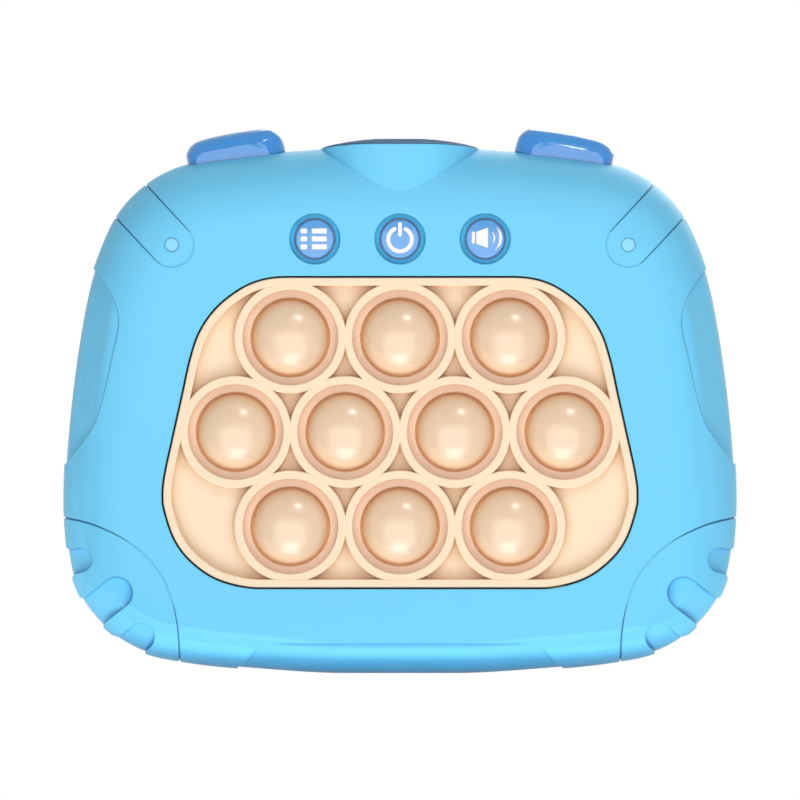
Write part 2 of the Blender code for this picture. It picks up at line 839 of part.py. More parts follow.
def door_loop(margin):
    """Outline of the door, grown by a margin: a rounded plate with a screw tongue on top."""
    half = tray_half_length + door_margin + margin
    low = door_bottom - margin
    high = tray_top + door_margin + margin
    tongue = door_tongue_radius + margin
    quarter = math.pi / 2
    rise_turn = math.asin((high - door_screw_z) / tongue)
    corner_x = half - door_corner
    arcs = (
        ((corner_x, low + door_corner), door_corner, -quarter, 0, door_corner_steps),
        ((corner_x, high - door_corner), door_corner, 0, quarter, door_corner_steps),
        ((0, door_screw_z), tongue, rise_turn, quarter, door_tongue_steps))
    loop = []
    for centre, radius, start, end, steps in arcs:
        for step in range(steps + 1):
            turn = start + (end - start) * step / steps
            loop.append(Vector(centre) + Vector((math.cos(turn), math.sin(turn))) * radius)
    return loop + [mirrored(point) for point in reversed(loop) if point.x > weld_distance]


def tray_box(name, margin, near_y, far_y, bottom):
    width = 2 * (tray_half_length + margin)
    low = bottom - margin
    high = tray_top + margin
    size = (width, far_y - near_y, high - low)
    return box(name, size, (0, (near_y + far_y) / 2, (low + high) / 2))


def grille_places():
    places = []
    for ring, count in enumerate(grille_ring_counts):
        for index in range(count):
            turn = 2 * math.pi * index / count
            reach = ring * grille_pitch
            places.append((math.cos(turn) * reach, speaker_z + math.sin(turn) * reach))
    return places


def make_rear_shell(body, cavity):
    shell = half_case(body, "rear_shell", part_y + fit_gap / 2, through_back)
    hollow = new_object("rear_cavity", cavity.data.copy())
    inner_back = back_y - wall
    well_floor = back_y - screw_well_depth
    speaker_place = [(0, speaker_z)]
    pocket_radius = speaker_radius + fit_gap
    combine(
        hollow, "DIFFERENCE",
        rods("rear_bosses", case_screw_places, rear_boss_radius, part_y + fit_gap / 2,
             through_back, screw_segments),
        tray_box("tray_block", tray_wall, tray_floor_y - tray_wall, through_back, tray_bottom),
        rods("speaker_ring", speaker_place, pocket_radius + speaker_ring_wall,
             inner_back - speaker_ring_length, through_back, control_segments),
        rods("door_boss", [(0, door_screw_z)], door_boss_radius,
             inner_back - door_boss_length, through_back, screw_segments))
    combine(
        shell, "DIFFERENCE", hollow,
        rods("speaker_pocket", speaker_place, pocket_radius,
             inner_back - speaker_ring_length - overrun, inner_back, control_segments),
        rods("grille", grille_places(), grille_radius, inner_back - fit_gap, through_back,
             grille_segments),
        tray_box("tray_hollow", 0, tray_floor_y, inner_back, tray_bottom),
        tray_box("tray_opening", 0, inner_back - fit_gap, through_back, tray_opening_bottom),
        slab("door_rebate", [door_loop(fit_gap)], door_front - fit_gap, through_back),
        rods("door_screw_bore", [(0, door_screw_z)], door_bore_radius,
             door_front - door_screw_reach - bore_end_gap, through_back, screw_segments),
        rods("screw_wells", case_screw_places, screw_well_radius, well_floor, through_back,
             screw_segments),
        rods("rear_screw_bores", case_screw_places, screw_bore_radius, part_y - overrun,
             well_floor + overrun, screw_segments),
        lens_opening(), shoulder_slot(-1), shoulder_slot(1))
    return piece(settled(shell), "rear_shell", "case_blue")


# Silicone pad, its retainer and the domes

def opening_width_at(height):
    """Width of the opening at a height, from its outline."""
    share = (height - opening_bottom) / opening_height
    for low, high in zip(opening_outline_shares, opening_outline_shares[1:]):
        if low[1] <= share <= high[1]:
            along = (share - low[1]) / (high[1] - low[1])
            return 2 * opening_half_width * (low[0] + (high[0] - low[0]) * along)
    return 0


def bubble_layout():
    """Staggered rows of centres, top row first, as many as fit; and the widest row."""
    room = 2 * (ring_radius + pad_rim - ring_rim_overlap)
    row_count = 1 + round((opening_height - room) / bubble_row_pitch)
    middle_z = opening_bottom + opening_height / 2 + bubble_lift
    heights = [
        middle_z + ((row_count - 1) / 2 - row) * bubble_row_pitch for row in range(row_count)]
    counts = [1 + int((opening_width_at(height) - room) / bubble_pitch) for height in heights]
    widest = counts.index(max(counts))
    rows = []
    for row, (height, fitting) in enumerate(zip(heights, counts)):
        count = fitting - (fitting - counts[widest] + row - widest) % 2
        rows.append([((index - (count - 1) / 2) * bubble_pitch, height) for index in range(count)])
    return rows, widest


bubble_rows, widest_row = bubble_layout()
bubbles = [place for row in bubble_rows for place in row]


def make_bubble_pad():
    """Raised rim and rings over a thin web whose flange the retainer clamps."""
    rim_edge = offset_loop(opening_loop, -fit_gap)
    root_y = front_y + pad_web_depth + pad_overlap
    rim = slab("pad_rim", [rim_edge, offset_loop(rim_edge, -pad_rim)], front_y + pad_top, root_y)
    ring_loops = [
        circle_loop(place, radius, ring_segments)
        for place in bubbles for radius in (ring_radius, ring_bore)]
    rings = slab("pad_rings", ring_loops, front_y + pad_top + ring_drop, root_y)
    holes = [circle_loop(place, bubble_radius + fit_gap, bubble_segments) for place in bubbles]
    web = slab(
        "pad_web", [offset_loop(opening_loop, pad_flange), *holes],
        front_y + pad_web_depth, front_y + pad_back)
    pad = flattened(settled(combine(web, "UNION", rim, rings)))
    return piece(pad, "bubble_pad", "silicone_cream")


def bubble_profile():
    """Dome, thin skin and pushing stem; heights are in front of the case's front plane."""
    base = -pad_web_depth
    rise = bubble_proud - base
    back = -pad_back
    inner = bubble_radius - bubble_skin
    profile = [(0, bubble_proud)]
    for step in range(1, bubble_arc_steps + 1):
        turn = math.pi / 2 * step / bubble_arc_steps
        profile.append((bubble_radius * math.sin(turn), base + rise * math.cos(turn)))
    profile += [(bubble_radius, back), (inner, back)]
    profile += [
        (bubble_stem_radius, bubble_proud - bubble_skin),
        (bubble_stem_radius, -bubble_stem_tip), (0, -bubble_stem_tip)]
    return profile


def make_bubbles():
    for number, (x, z) in enumerate(bubbles, 1):
        name = f"bubble_{number:02d}"
        dome = turned(name, bubble_profile(), bubble_segments, (x, front_y, z), facing_front)
        piece(dome, name, "bubble_cream")


def make_pad_retainer():
    outline = offset_loop(plate_loop, pad_flange)
    holes = [circle_loop(place, retainer_bore, bubble_segments) for place in bubbles]
    plate = slab(
        "retainer_plate", [outline, *holes], front_y + retainer_front, front_y + retainer_back)
    third = bubble_row_pitch / 3
    widest = bubble_rows[widest_row]
    posts = [
        ((left[0] + right[0]) / 2, left[1] + side * third)
        for left, right in zip(widest, widest[1:]) for side in (-1, 1)
        if 0 <= widest_row - side < len(bubble_rows)]
    combine(plate, "UNION", rods(
        "retainer_posts", posts, retainer_post_radius, front_y + retainer_back - pad_overlap,
        front_y + sheet_front - fit_gap, post_segments))
    return piece(flattened(settled(plate)), "pad_retainer", "retainer_white")


# Board, membrane, lamps and switches

def make_main_board():
    half = [
        Vector((x * board_half_width, board_bottom + z * (board_top - board_bottom)))
        for x, z in board_half_outline_shares]
    outline = half + [mirrored(point) for point in reversed(half) if point.x > 0]
    holes = [circle_loop(place, board_hole_radius, screw_segments) for place in board_screw_places]
    board = slab("main_board", [outline, *holes], front_y + board_front, front_y + board_back)
    return piece(board, "main_board", "board_green")


def led_place(place):
    return (place[0], place[1] - led_offset)


def square_loop(centre, half):
    corners = ((-half, -half), (half, -half), (half, half), (-half, half))
    return [Vector(centre) + Vector(corner) for corner in corners]


def make_switch_sheet():
    windows = [square_loop(led_place(place), led_size / 2 + fit_gap) for place in bubbles]
    sheet = slab(
        "sheet", [offset_loop(plate_loop, -fit_gap), *windows],
        front_y + sheet_front, front_y + sheet_back)
    domes = rods(
        "sheet_domes", bubbles, sheet_dome_radius, front_y + sheet_dome_top,
        front_y + sheet_front + sheet_thickness / 2, sheet_dome_segments,
        tip_radius=sheet_dome_radius * sheet_dome_top_share)
    sheet = flattened(settled(combine(sheet, "UNION", domes)))
    return piece(sheet, "switch_sheet", "membrane_grey")


def make_leds():
    middle = front_y + sheet_back - led_height / 2
    for number, place in enumerate(bubbles, 1):
        x, z = led_place(place)
        lamp = box("led", (led_size, led_height, led_size), (x, middle, z))
        piece(lamp, f"led_{number:02d}", "led_white")


def push_switch(name, mount, turn):
    """A square push switch with a square knob along its own +Z, seated at the mount."""
    shape = bmesh.new()
    bmesh.ops.create_cube(shape, size=1)
    bmesh.ops.scale(shape, verts=shape.verts, vec=(switch_size, switch_size, switch_body))
    bmesh.ops.translate(shape, verts=shape.verts, vec=(0, 0, switch_body / 2))
    top = max(shape.faces, key=lambda face: face.calc_center_median().z)
    bmesh.ops.inset_region(shape, faces=[top], thickness=switch_size / 2 - switch_knob)
    knob = bmesh.ops.extrude_face_region(shape, geom=[top])
    lifted = [item for item in knob["geom"] if isinstance(item, bmesh.types.BMVert)]
    bmesh.ops.translate(shape, verts=lifted, vec=(0, 0, switch_knob_height))
    bmesh.ops.delete(shape, geom=[top], context="FACES_ONLY")
    mesh = bpy.data.meshes.new(name)
    bmesh.ops.recalc_face_normals(shape, faces=shape.faces)
    shape.to_mesh(mesh)
    shape.free()
    return piece(new_object(name, mesh, mount, turn), name, "switch_black")


def make_control_switches():
    seat_y = front_y + board_front - fit_gap
    for name, (x, z) in zip(("menu", "power", "volume"), control_places):
        push_switch(name + "_switch", (x, seat_y, z), facing_front)


def make_control_buttons():
    """Shallow domed caps with a flange behind the shell and a stem to the switch."""
    flange_radius = control_radius + control_flange_width
    flange_front = -(wall + fit_gap)
    flange_back = flange_front - control_flange
    profile = [
        (across * control_radius, control_rise + up * control_crown)
        for across, up in control_crown_shares]
    profile += [
        (control_radius, -control_crown),
        (control_radius, flange_front), (flange_radius, flange_front),
        (flange_radius, flange_back), (control_stem_radius, flange_back),
        (control_stem_radius, -control_stem_tip), (0, -control_stem_tip)]
    for name, (x, z) in zip(("menu", "power", "volume"), control_places):
        cap = turned(name, profile, control_segments, (x, front_y, z), facing_front)
        piece(cap, name + "_button", "button_blue")


# Shoulder buttons and their switches

switch_axis_y = front_y + board_back + fit_gap + switch_size / 2


def shoulder_plunger_end():
    """How far the plunger reaches down from the base line of the cap."""
    return -(shoulder_switch_drop / math.cos(shoulder_turn) - 2 * fit_gap - shoulder_travel)


def make_shoulder_button(side, name):
    """Rounded cap, ears under the shell and a plunger over the switch."""
    cap_loop = [
        shoulder_point(side, across * shoulder_half_width, up * shoulder_height)
        for across, up in shoulder_cap_shares]
    root = [
        shoulder_point(side, across * shoulder_half_width, -shoulder_root) for across in (1, -1)]
    cap = rounded(
        "cap", cap_loop + root, part_y - shoulder_depth / 2, part_y + shoulder_depth / 2,
        shoulder_edge, shoulder_edge, shoulder_edge_segments)
    core_reach = shoulder_half_width - shoulder_core_margin
    ear_reach = shoulder_half_width + shoulder_ear_width
    ear_low = -shoulder_ear_drop - shoulder_ear_thickness
    half_ear = shoulder_ear_depth / 2
    core = slab(
        "core", [shoulder_frame(side, -core_reach, core_reach, -shoulder_ear_drop - pad_overlap, 0)],
        part_y - half_ear, part_y + half_ear)
    ears = slab(
        "ears", [shoulder_frame(side, -ear_reach, ear_reach, ear_low, -shoulder_ear_drop)],
        part_y - half_ear, part_y + half_ear)
    half_plunger = shoulder_plunger / 2
    plunger = slab(
        "plunger", [shoulder_frame(side, -half_plunger, half_plunger, shoulder_plunger_end(),
                                   -shoulder_ear_drop - shoulder_ear_thickness / 2)],
        switch_axis_y - half_plunger, switch_axis_y + half_plunger)
    button = settled(combine(cap, "UNION", core, ears, plunger))
    base = shoulder_point(side, 0, 0)
    move_origin(button, (base.x, part_y, base.y))
    return piece(button, name, "shoulder_blue")


def make_shoulder_switch(side, name):
    height = switch_body + switch_knob_height
    x = shoulder_point(side, 0, -shoulder_switch_drop).x
    seat = (x, switch_axis_y, shoulder_switch_top - height)
    push_switch(name, seat, (0, 0, 0))


# Lens and its lamp

def make_light_window():
    rim = turret_half_width - lens_rim
    seat = turret_top + fit_gap
    neck = turret_half_width * lens_neck_share
    profile = [(across * rim, seat + up * lens_crown) for across, up in lens_crown_shares]
    profile += [
        (rim * lens_shoulder_share, seat + lens_edge_height), (rim, seat), (neck, seat),
        (neck, seat - lens_neck_length), (0, seat - lens_neck_length)]
    lens = turned("light_window", profile, lens_segments, (0, part_y, 0), (0, 0, 0))
    lens.data.transform(Matrix.Diagonal((1, turret_half_depth / turret_half_width, 1, 1)))
    return piece(lens, "light_window", "lens_blue")


def make_window_led():
    top = window_led_radius
    bend = window_led_radius * window_led_bend_share
    profile = [
        (0, top), (bend, bend), (window_led_radius, 0),
        (window_led_radius, -window_led_length), (0, -window_led_length)]
    y = front_y + board_back + fit_gap + window_led_radius
    place = (0, y, case_top - window_led_drop - window_led_radius)
    lamp = turned("window_led", profile, lamp_segments, place, (0, 0, 0))
    return piece(lamp, "window_led", "led_white")


# Screws

def screw_profile(head_radius, head_height, radius, reach):
    """Head above zero, shank below it."""
    return [
        (0, head_height), (head_radius, head_height), (head_radius, 0), (radius, 0),
        (radius, -reach), (0, -reach)]


def make_screws():
    seats = (
        ("case_screw", case_screw_places, back_y - screw_well_depth + fit_gap, case_screw_tip),
        ("board_screw", board_screw_places, front_y + board_back + fit_gap, board_screw_tip))
    for kind, places, seat_y, tip_y in seats:
        profile = screw_profile(
            screw_head_radius, screw_head_height, screw_radius, seat_y - tip_y)
        for number, place in enumerate(places, 1):
            name = f"{kind}_{number}"
            spot = (place[0], seat_y, place[1])
            screw = turned(name, profile, screw_segments, spot, facing_back)
            piece(screw, name, "steel")


# Cells, contacts, door and loudspeaker

def cell_height(index):
    """Height of a cell's axis, the top cell first."""
    return tray_middle_z + ((cell_count - 1) / 2 - index) * cell_pitch


def make_cells():
    """Cells that alternate in direction, each pushed to its plus end by its spring."""
    body = cell_length - cell_nub
    shift = (contact_spring - contact_bump) / 2
    profile = [
        (0, cell_length / 2), (cell_nub_radius, cell_length / 2),
        (cell_nub_radius, cell_length / 2 - cell_nub), (cell_radius, cell_length / 2 - cell_nub),
        (cell_radius, cell_length / 2 - cell_nub - body), (0, cell_length / 2 - cell_nub - body)]
    for index in range(cell_count):
        plus = -1 if index % 2 == 0 else 1
        turn = facing_right if plus > 0 else facing_left
        place = (plus * shift, cell_y, cell_height(index))
        name = f"battery_{index + 1}"
        piece(turned(name, profile, cell_segments, place, turn), name, "battery_green")


def contact_nub(side, plate_x, index, is_spring):
    """A sprung coil's outer form, or a plain bump, on the face of a contact plate."""
    length = contact_spring if is_spring else contact_bump
    wide = contact_spring_radius if is_spring else contact_bump_radius
    bump_tip = contact_bump_radius * contact_bump_tip_share
    tip = contact_spring_tip_radius if is_spring else bump_tip
    shape = bmesh.new()
    bmesh.ops.create_cone(
        shape, cap_ends=True, segments=contact_segments, radius1=wide, radius2=tip,
        depth=length + contact_plate / 2)
    mesh = bpy.data.meshes.new("nub")
    shape.to_mesh(mesh)
    shape.free()
    turn = facing_right if side < 0 else facing_left
    x = plate_x - side * (length / 2 + contact_plate / 4)
    return new_object("nub", mesh, (x, cell_y, cell_height(index)), turn)


def make_contacts():
    """Each contact: which side, the cells it touches, and which of them by a spring."""
    layout = (
        ("battery_contact_left_end", -1, (0,), ()),
        ("battery_contact_left_link", -1, (1, 2), (1,)),
        ("battery_contact_right_link", 1, (0, 1), (0,)),
        ("battery_contact_right_end", 1, (2,), (2,)))
    for name, side, cells, springs in layout:
        plate_x = side * (tray_half_length - fit_gap - contact_plate / 2)
        heights = [cell_height(index) for index in cells]
        span = max(heights) - min(heights) + 2 * contact_half_height
        middle = (max(heights) + min(heights)) / 2
        plate = box("plate", (contact_plate, 2 * contact_half_height, span), (plate_x, cell_y, middle))
        for index in cells:
            combine(plate, "UNION", contact_nub(side, plate_x, index, index in springs))
        piece(settled(plate), name, "steel")


def make_battery_door():
    plate = slab("door_plate", [door_loop(0)], door_front, door_back)
    inner_back = back_y - wall
    tab_back = inner_back - fit_gap
    tab_front = tab_back - door_tab_thickness
    for side in (-1, 1):
        x = side * door_tab_spread
        foot_low = door_bottom - door_tab_length
        foot_high = door_bottom + door_tab_rise
        foot = box(
            "tab", (door_tab_width, door_tab_thickness, foot_high - foot_low),
            (x, tab_back - door_tab_thickness / 2, (foot_low + foot_high) / 2))
        riser_back = door_front + door_thickness / 2
        riser = box(
            "riser", (door_tab_width - fit_gap, riser_back - tab_front - fit_gap, door_tab_rise / 2),
            (x, (riser_back + tab_front + fit_gap) / 2, door_bottom + door_tab_rise / 2))
        combine(plate, "UNION", foot, riser)
    bore = rods(
        "door_hole", [(0, door_screw_z)], door_screw_radius + fit_gap, door_front - overrun,
        through_back, screw_segments)
    sink = rods(
        "door_sink", [(0, door_screw_z)], door_screw_head_radius + fit_gap,
        back_y - door_screw_head, through_back, screw_segments)
    door = flattened(settled(combine(plate, "DIFFERENCE", bore, sink)))
    move_origin(door, (0, door_back, door_hinge_z))
    return piece(door, "battery_door", "case_blue")


def make_door_screw():
    seat_y = back_y - door_screw_head + fit_gap
    head = door_screw_head - fit_gap - door_screw_sunk
    profile = screw_profile(
        door_screw_head_radius, head, door_screw_radius, seat_y - door_front + door_screw_reach)
    place = (0, seat_y, door_screw_z)
    screw = turned("door_screw", profile, screw_segments, place, facing_back)
    return piece(screw, "battery_door_screw", "steel")


def make_speaker():
    face = back_y - wall - fit_gap
    profile = [
        (0, 0), (speaker_radius, 0), (speaker_radius, -speaker_frame),
        (speaker_cone_radius, -speaker_frame), (speaker_magnet_radius, -speaker_cone),
        (speaker_magnet_radius, -speaker_cone - speaker_magnet),
        (0, -speaker_cone - speaker_magnet)]
    driver = turned("speaker", profile, speaker_segments, (0, face, speaker_z), facing_back)
    return piece(driver, "speaker", "speaker_black")


whole_case = case_body()
inner_case = rounded_case("case_cavity", hollow_loop, wall, hollow_segments)
make_front_shell(whole_case, inner_case)
make_rear_shell(whole_case, inner_case)
make_bubble_pad()
make_bubbles()
make_pad_retainer()
make_main_board()
make_switch_sheet()
make_leds()
make_control_switches()
make_control_buttons()
for shoulder_side, shoulder_name in ((-1, "left"), (1, "right")):
    make_shoulder_button(shoulder_side, shoulder_name + "_shoulder_button")
    make_shoulder_switch(shoulder_side, shoulder_name + "_shoulder_switch")
make_light_window()
make_window_led()
make_screws()
make_cells()
make_contacts()
make_battery_door()
make_door_screw()
make_speaker()
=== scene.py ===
# %% [markdown]
# # An electronic bubble pop game, dressed for its picture
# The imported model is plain: flat facets, right in every size. This lesson gives it the
# surfaces of the real toy: a satin blue case, a soft cream silicone pad, glossy buttons.
# The model is loaded first, because each new piece takes its place from a part of it.

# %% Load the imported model
import math

import bmesh
import bpy
from mathutils import Matrix, Vector
from mathutils.geometry import intersect_line_line_2d


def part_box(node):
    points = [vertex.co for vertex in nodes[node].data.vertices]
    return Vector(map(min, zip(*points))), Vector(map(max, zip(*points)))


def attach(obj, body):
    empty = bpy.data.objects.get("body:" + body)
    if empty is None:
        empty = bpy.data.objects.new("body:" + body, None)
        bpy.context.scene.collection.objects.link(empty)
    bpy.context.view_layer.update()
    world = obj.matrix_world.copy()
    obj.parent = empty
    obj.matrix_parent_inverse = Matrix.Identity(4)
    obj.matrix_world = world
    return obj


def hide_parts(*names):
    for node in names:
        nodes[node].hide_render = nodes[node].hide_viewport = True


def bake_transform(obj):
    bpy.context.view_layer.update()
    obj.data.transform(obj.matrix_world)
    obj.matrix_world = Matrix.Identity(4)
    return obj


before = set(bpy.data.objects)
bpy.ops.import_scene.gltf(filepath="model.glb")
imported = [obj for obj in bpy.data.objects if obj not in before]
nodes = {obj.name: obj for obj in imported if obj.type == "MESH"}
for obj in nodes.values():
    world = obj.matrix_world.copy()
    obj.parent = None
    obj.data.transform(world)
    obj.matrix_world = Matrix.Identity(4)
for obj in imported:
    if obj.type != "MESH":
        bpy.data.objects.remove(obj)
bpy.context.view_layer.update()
print("packed parts:", len(nodes))

# %% [markdown]
# ## The planes of the case
# A handheld toy like this is two thin shells that meet halfway through its depth. All that
# follows hangs on a few planes: the front, the back, the line where the shells meet, and
# the floor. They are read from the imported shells, and the small sizes are written in mm.

# %% Read the main planes
mm = 0.001
shell_low, shell_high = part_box("front_shell")
rear_low, rear_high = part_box("rear_shell")
front_y = shell_low.y
back_y = rear_high.y
part_y = (shell_high.y + rear_low.y) / 2
half_width = shell_high.x
foot_step = 0.5 * mm
turret_rise = 0.3 * mm
case_bottom = shell_low.z - foot_step
case_top = shell_high.z - turret_rise
case_height = case_top - case_bottom
wall = 2.6 * mm
fit_gap = 0.3 * mm
overrun = 6.0 * mm
print("case:", round(2 * half_width / mm, 1), "x", round(case_height / mm, 1), "mm")

# %% [markdown]
# ## Camera
# The photograph looks straight at the front, and its left and right sides match, as through
# a very long lens. An orthographic camera gives the same picture with no lens to guess. Its
# width is what 800 pixels of the photograph measure on the toy.

# %% Make the camera
picture_pixels = 800
pixel = 0.2522 * mm
middle_row_height = 68.85 * mm
camera_distance = 1.5
camera_far = 10.0


def in_scene(name, data):
    """A new object in the scene from its camera, lamp or mesh data."""
    made = bpy.data.objects.new(name, data)
    bpy.context.scene.collection.objects.link(made)
    return made


camera_data = bpy.data.cameras.new("front_camera")
camera_data.type = "ORTHO"
camera_data.ortho_scale = picture_pixels * pixel
camera_data.clip_end = camera_far
camera = in_scene("front_camera", camera_data)
camera.location = (0, -camera_distance, middle_row_height)
camera.rotation_euler = (math.radians(90), 0, 0)
bpy.context.scene.camera = camera
print("picture width:", round(camera_data.ortho_scale / mm, 1), "mm")

# %% [markdown]
# ## Room and light
# The toy was lit from the front and from below: its flat front is bright, the top and the
# sides fall away, and each bubble shows a soft square of light below its middle and one
# small spark above. A large soft lamp and a small one make those, a third stands for the
# light that a white table throws up, and a fourth lights the back. A pale world fills in
# the rest. Two lamps stand lower than the floor, so the floor is kept out of their way: it
# takes shadows but casts none, and a card right under the toy keeps its underside dark. The
# camera sees white behind the toy and a pale floor, which add no light to it.

# %% Make the floor and the world
white = (1, 1, 1, 1)
floor_grey = (0.8, 0.8, 0.8, 1)
floor_white_share = 0.6
floor_reach = 4.0
card_width_share = 0.9
card_depth_share = 0.8
card_drop = 0.5 * mm
room_strength = 0.3


def shader_tree(owner):
    """The empty node tree of a material or world."""
    owner.use_nodes = True
    owner.node_tree.nodes.clear()
    return owner.node_tree


def add_node(tree, kind, inputs=None, **settings):
    """The outputs of a new node; each input named gets a value, or the output that feeds it."""
    made = tree.nodes.new(kind)
    for key, value in settings.items():
        setattr(made, key, value)
    for key, value in (inputs or {}).items():
        if isinstance(value, bpy.types.NodeSocket):
            tree.links.new(value, made.inputs[key])
        else:
            made.inputs[key].default_value = value
    return made.outputs


def combine(tree, operation, first, second):
    """The output of a Math node."""
    return add_node(tree, "ShaderNodeMath", {0: first, 1: second}, operation=operation)[0]


def white_when_seen(tree, shade, glow, share, target):
    """Mix white into a shade for rays from the camera, off a glossy surface or through glass."""
    path = add_node(tree, "ShaderNodeLightPath")
    seen = combine(tree, "MAXIMUM", path["Is Camera Ray"], path["Is Glossy Ray"])
    seen = combine(tree, "MAXIMUM", seen, path["Is Transmission Ray"])
    part = combine(tree, "MULTIPLY", seen, share)
    mix = add_node(tree, "ShaderNodeMixShader", {0: part, 1: shade, 2: glow})
    add_node(tree, target, {0: mix[0]})


floor_paint = bpy.data.materials.new("floor_paint")
floor_tree = shader_tree(floor_paint)
floor_shade = add_node(
    floor_tree, "ShaderNodeBsdfPrincipled", {"Base Color": floor_grey, "Roughness": 0.9})
floor_glow = add_node(floor_tree, "ShaderNodeEmission", {"Color": white, "Strength": 1.0})
white_when_seen(
    floor_tree, floor_shade[0], floor_glow[0], floor_white_share, "ShaderNodeOutputMaterial")

world = bpy.data.worlds.new("pale_room")
bpy.context.scene.world = world
room_tree = shader_tree(world)
room_light, room_white = [
    add_node(room_tree, "ShaderNodeBackground", {"Color": white, "Strength": strength})[0]
    for strength in (room_strength, 1.0)]
white_when_seen(room_tree, room_light, room_white, 1.0, "ShaderNodeOutputWorld")


def mesh_object(name, shape):
    """Turn a bmesh into a mesh object in the scene."""
    mesh = bpy.data.meshes.new(name)
    shape.to_mesh(mesh)
    shape.free()
    return in_scene(name, mesh)


def set_shape(shape, size, middle):
    """Scale a bmesh of unit size and move it to its place."""
    bmesh.ops.scale(shape, verts=shape.verts, vec=size)
    bmesh.ops.translate(shape, verts=shape.verts, vec=middle)


def level_sheet(name, half_x, half_y, height):
    """A flat sheet of the studio, which isn't part of the toy."""
    shape = bmesh.new()
    bmesh.ops.create_grid(shape, x_segments=1, y_segments=1, size=1)
    set_shape(shape, (half_x, half_y, 1), (0, 0, height))
    sheet = mesh_object(name, shape)
    sheet.data.materials.append(floor_paint)
    sheet.visible_glossy = False
    return sheet


floor = level_sheet("floor", floor_reach, floor_reach, 0)
floor.visible_shadow = False
contact_card = level_sheet(
    "contact_card", card_width_share * half_width, -card_depth_share * front_y, -card_drop)
contact_card.visible_camera = False
contact_card.visible_diffuse = False
contact_card.visible_transmission = False
print("sheets of the studio:", floor.name, contact_card.name)

# %% Make the lamps
lamp_table = (
    ("front_softbox", (-0.03, -0.7, -0.24), 1.1, 7.9),
    ("spark_lamp", (0.26, -0.62, 0.81), 0.16, 1.6),
    ("table_light", (0, -0.4, -0.5), 0.4, 2.2),
    ("rear_softbox", (0.35, 1.0, 0.75), 0.9, 6.8))
toy_middle = Vector((0, 0, middle_row_height))
for name, place, size, power in lamp_table:
    lamp_data = bpy.data.lights.new(name, "AREA")
    lamp_data.shape = "SQUARE"
    lamp_data.size = size
    lamp_data.energy = power
    lamp = in_scene(name, lamp_data)
    lamp.location = place
    facing = toy_middle - Vector(place)
    lamp.rotation_euler = facing.to_track_quat("-Z", "Y").to_euler()
view_settings = bpy.context.scene.view_settings
view_settings.view_transform = "Standard"
print("lamps:", len(lamp_table))

# %% [markdown]
# ## Moulded plastic and silicone
# Moulded parts are never perfectly even. The steel mould leaves a very fine grain, and the
# colour drifts a little across the part. On top of that, shade is painted into tight
# corners and seams: an ambient occlusion node finds them and darkens the colour there. All
# three are made once, as a node group, and each material takes what it needs from it: a
# colour with that painted shade, a roughness and a height for its bump.

# %% Build the moulded surface group
group_inputs = (
    ("Colour", (0.8, 0.8, 0.8, 1)), ("Painted Shade Colour", (0.3, 0.3, 0.3, 1)), ("Drift", 0.03),
    ("Roughness", 0.4), ("Grain Scale", 2500.0), ("Drift Scale", 18.0),
    ("Painted Shade Strength", 0.5), ("Painted Shade Reach", mm))
group_outputs = (("Colour", "Color"), ("Roughness", "Float"), ("Grain", "Float"))
painted_shade_range = {"From Min": 0.95, "From Max": 0.3, "To Min": 0.0, "To Max": 1.0}


def noise(tree, place, scale, detail):
    """The value of a noise texture."""
    inputs = {"Vector": place, "Scale": scale, "Detail": detail}
    return add_node(tree, "ShaderNodeTexNoise", inputs)["Fac"]


def build_moulded_group():
    """Node group: base colour in; drifted colour with painted shade in corners, roughness and
    grain height out.
    """
    group = bpy.data.node_groups.new("moulded_surface", "ShaderNodeTree")
    for name, value in group_inputs:
        kind = "Float" if isinstance(value, float) else "Color"
        socket = group.interface.new_socket(
            name, in_out="INPUT", socket_type="NodeSocket" + kind)
        socket.default_value = value
    for name, kind in group_outputs:
        group.interface.new_socket(name, in_out="OUTPUT", socket_type="NodeSocket" + kind)
    source = add_node(group, "NodeGroupInput")
    place = add_node(group, "ShaderNodeTexCoord")["Object"]
    grain = noise(group, place, source["Grain Scale"], 2.0)
    drift = noise(group, place, source["Drift Scale"], 3.0)
    amount = combine(group, "MULTIPLY", combine(group, "SUBTRACT", drift, 0.5), source["Drift"])
    level = combine(group, "ADD", amount, 1.0)
    tint = add_node(
        group, "ShaderNodeVectorMath", {0: source["Colour"], "Scale": level}, operation="SCALE")
    # Painted shade: the colour is mixed towards the shade colour where the AO node finds the
    # surface hemmed in.
    openness = add_node(
        group, "ShaderNodeAmbientOcclusion", {"Distance": source["Painted Shade Reach"]}, samples=8)
    corner = add_node(group, "ShaderNodeMapRange", {**painted_shade_range, "Value": openness["AO"]})
    share = combine(group, "MULTIPLY", corner["Result"], source["Painted Shade Strength"])
    painted_shade_colour = add_node(
        group, "ShaderNodeMix", {0: share, 6: tint[0], 7: source["Painted Shade Colour"]},
        data_type="RGBA")
    rough = combine(group, "ADD", source["Roughness"], amount)
    add_node(
        group, "NodeGroupOutput", {"Colour": painted_shade_colour[2], "Roughness": rough, "Grain": grain})
    return group


moulded_group = build_moulded_group()
print("node groups:", len(bpy.data.node_groups))

# %% [markdown]
# ## Materials
# Each finish is one Principled shader fed by the group. Colours are written as they show on
# a screen, from 0 to 255, and turned to the linear light that a shader works in. A Bevel
# node rounds the crisp edges by a fraction of a millimetre, as a mould does.

# %% Make the finishes
coat_roughness = 0.05
bump_gain = 10
bump_height = 0.05 * mm


def screen_colour(channels):
    """A colour as a screen shows it, as the linear light of a shader."""
    light = []
    for channel in channels:
        share = channel / 255
        light.append(share / 12.92 if share <= 0.04045 else ((share + 0.055) / 1.055) ** 2.4)
    return (*light, 1.0)


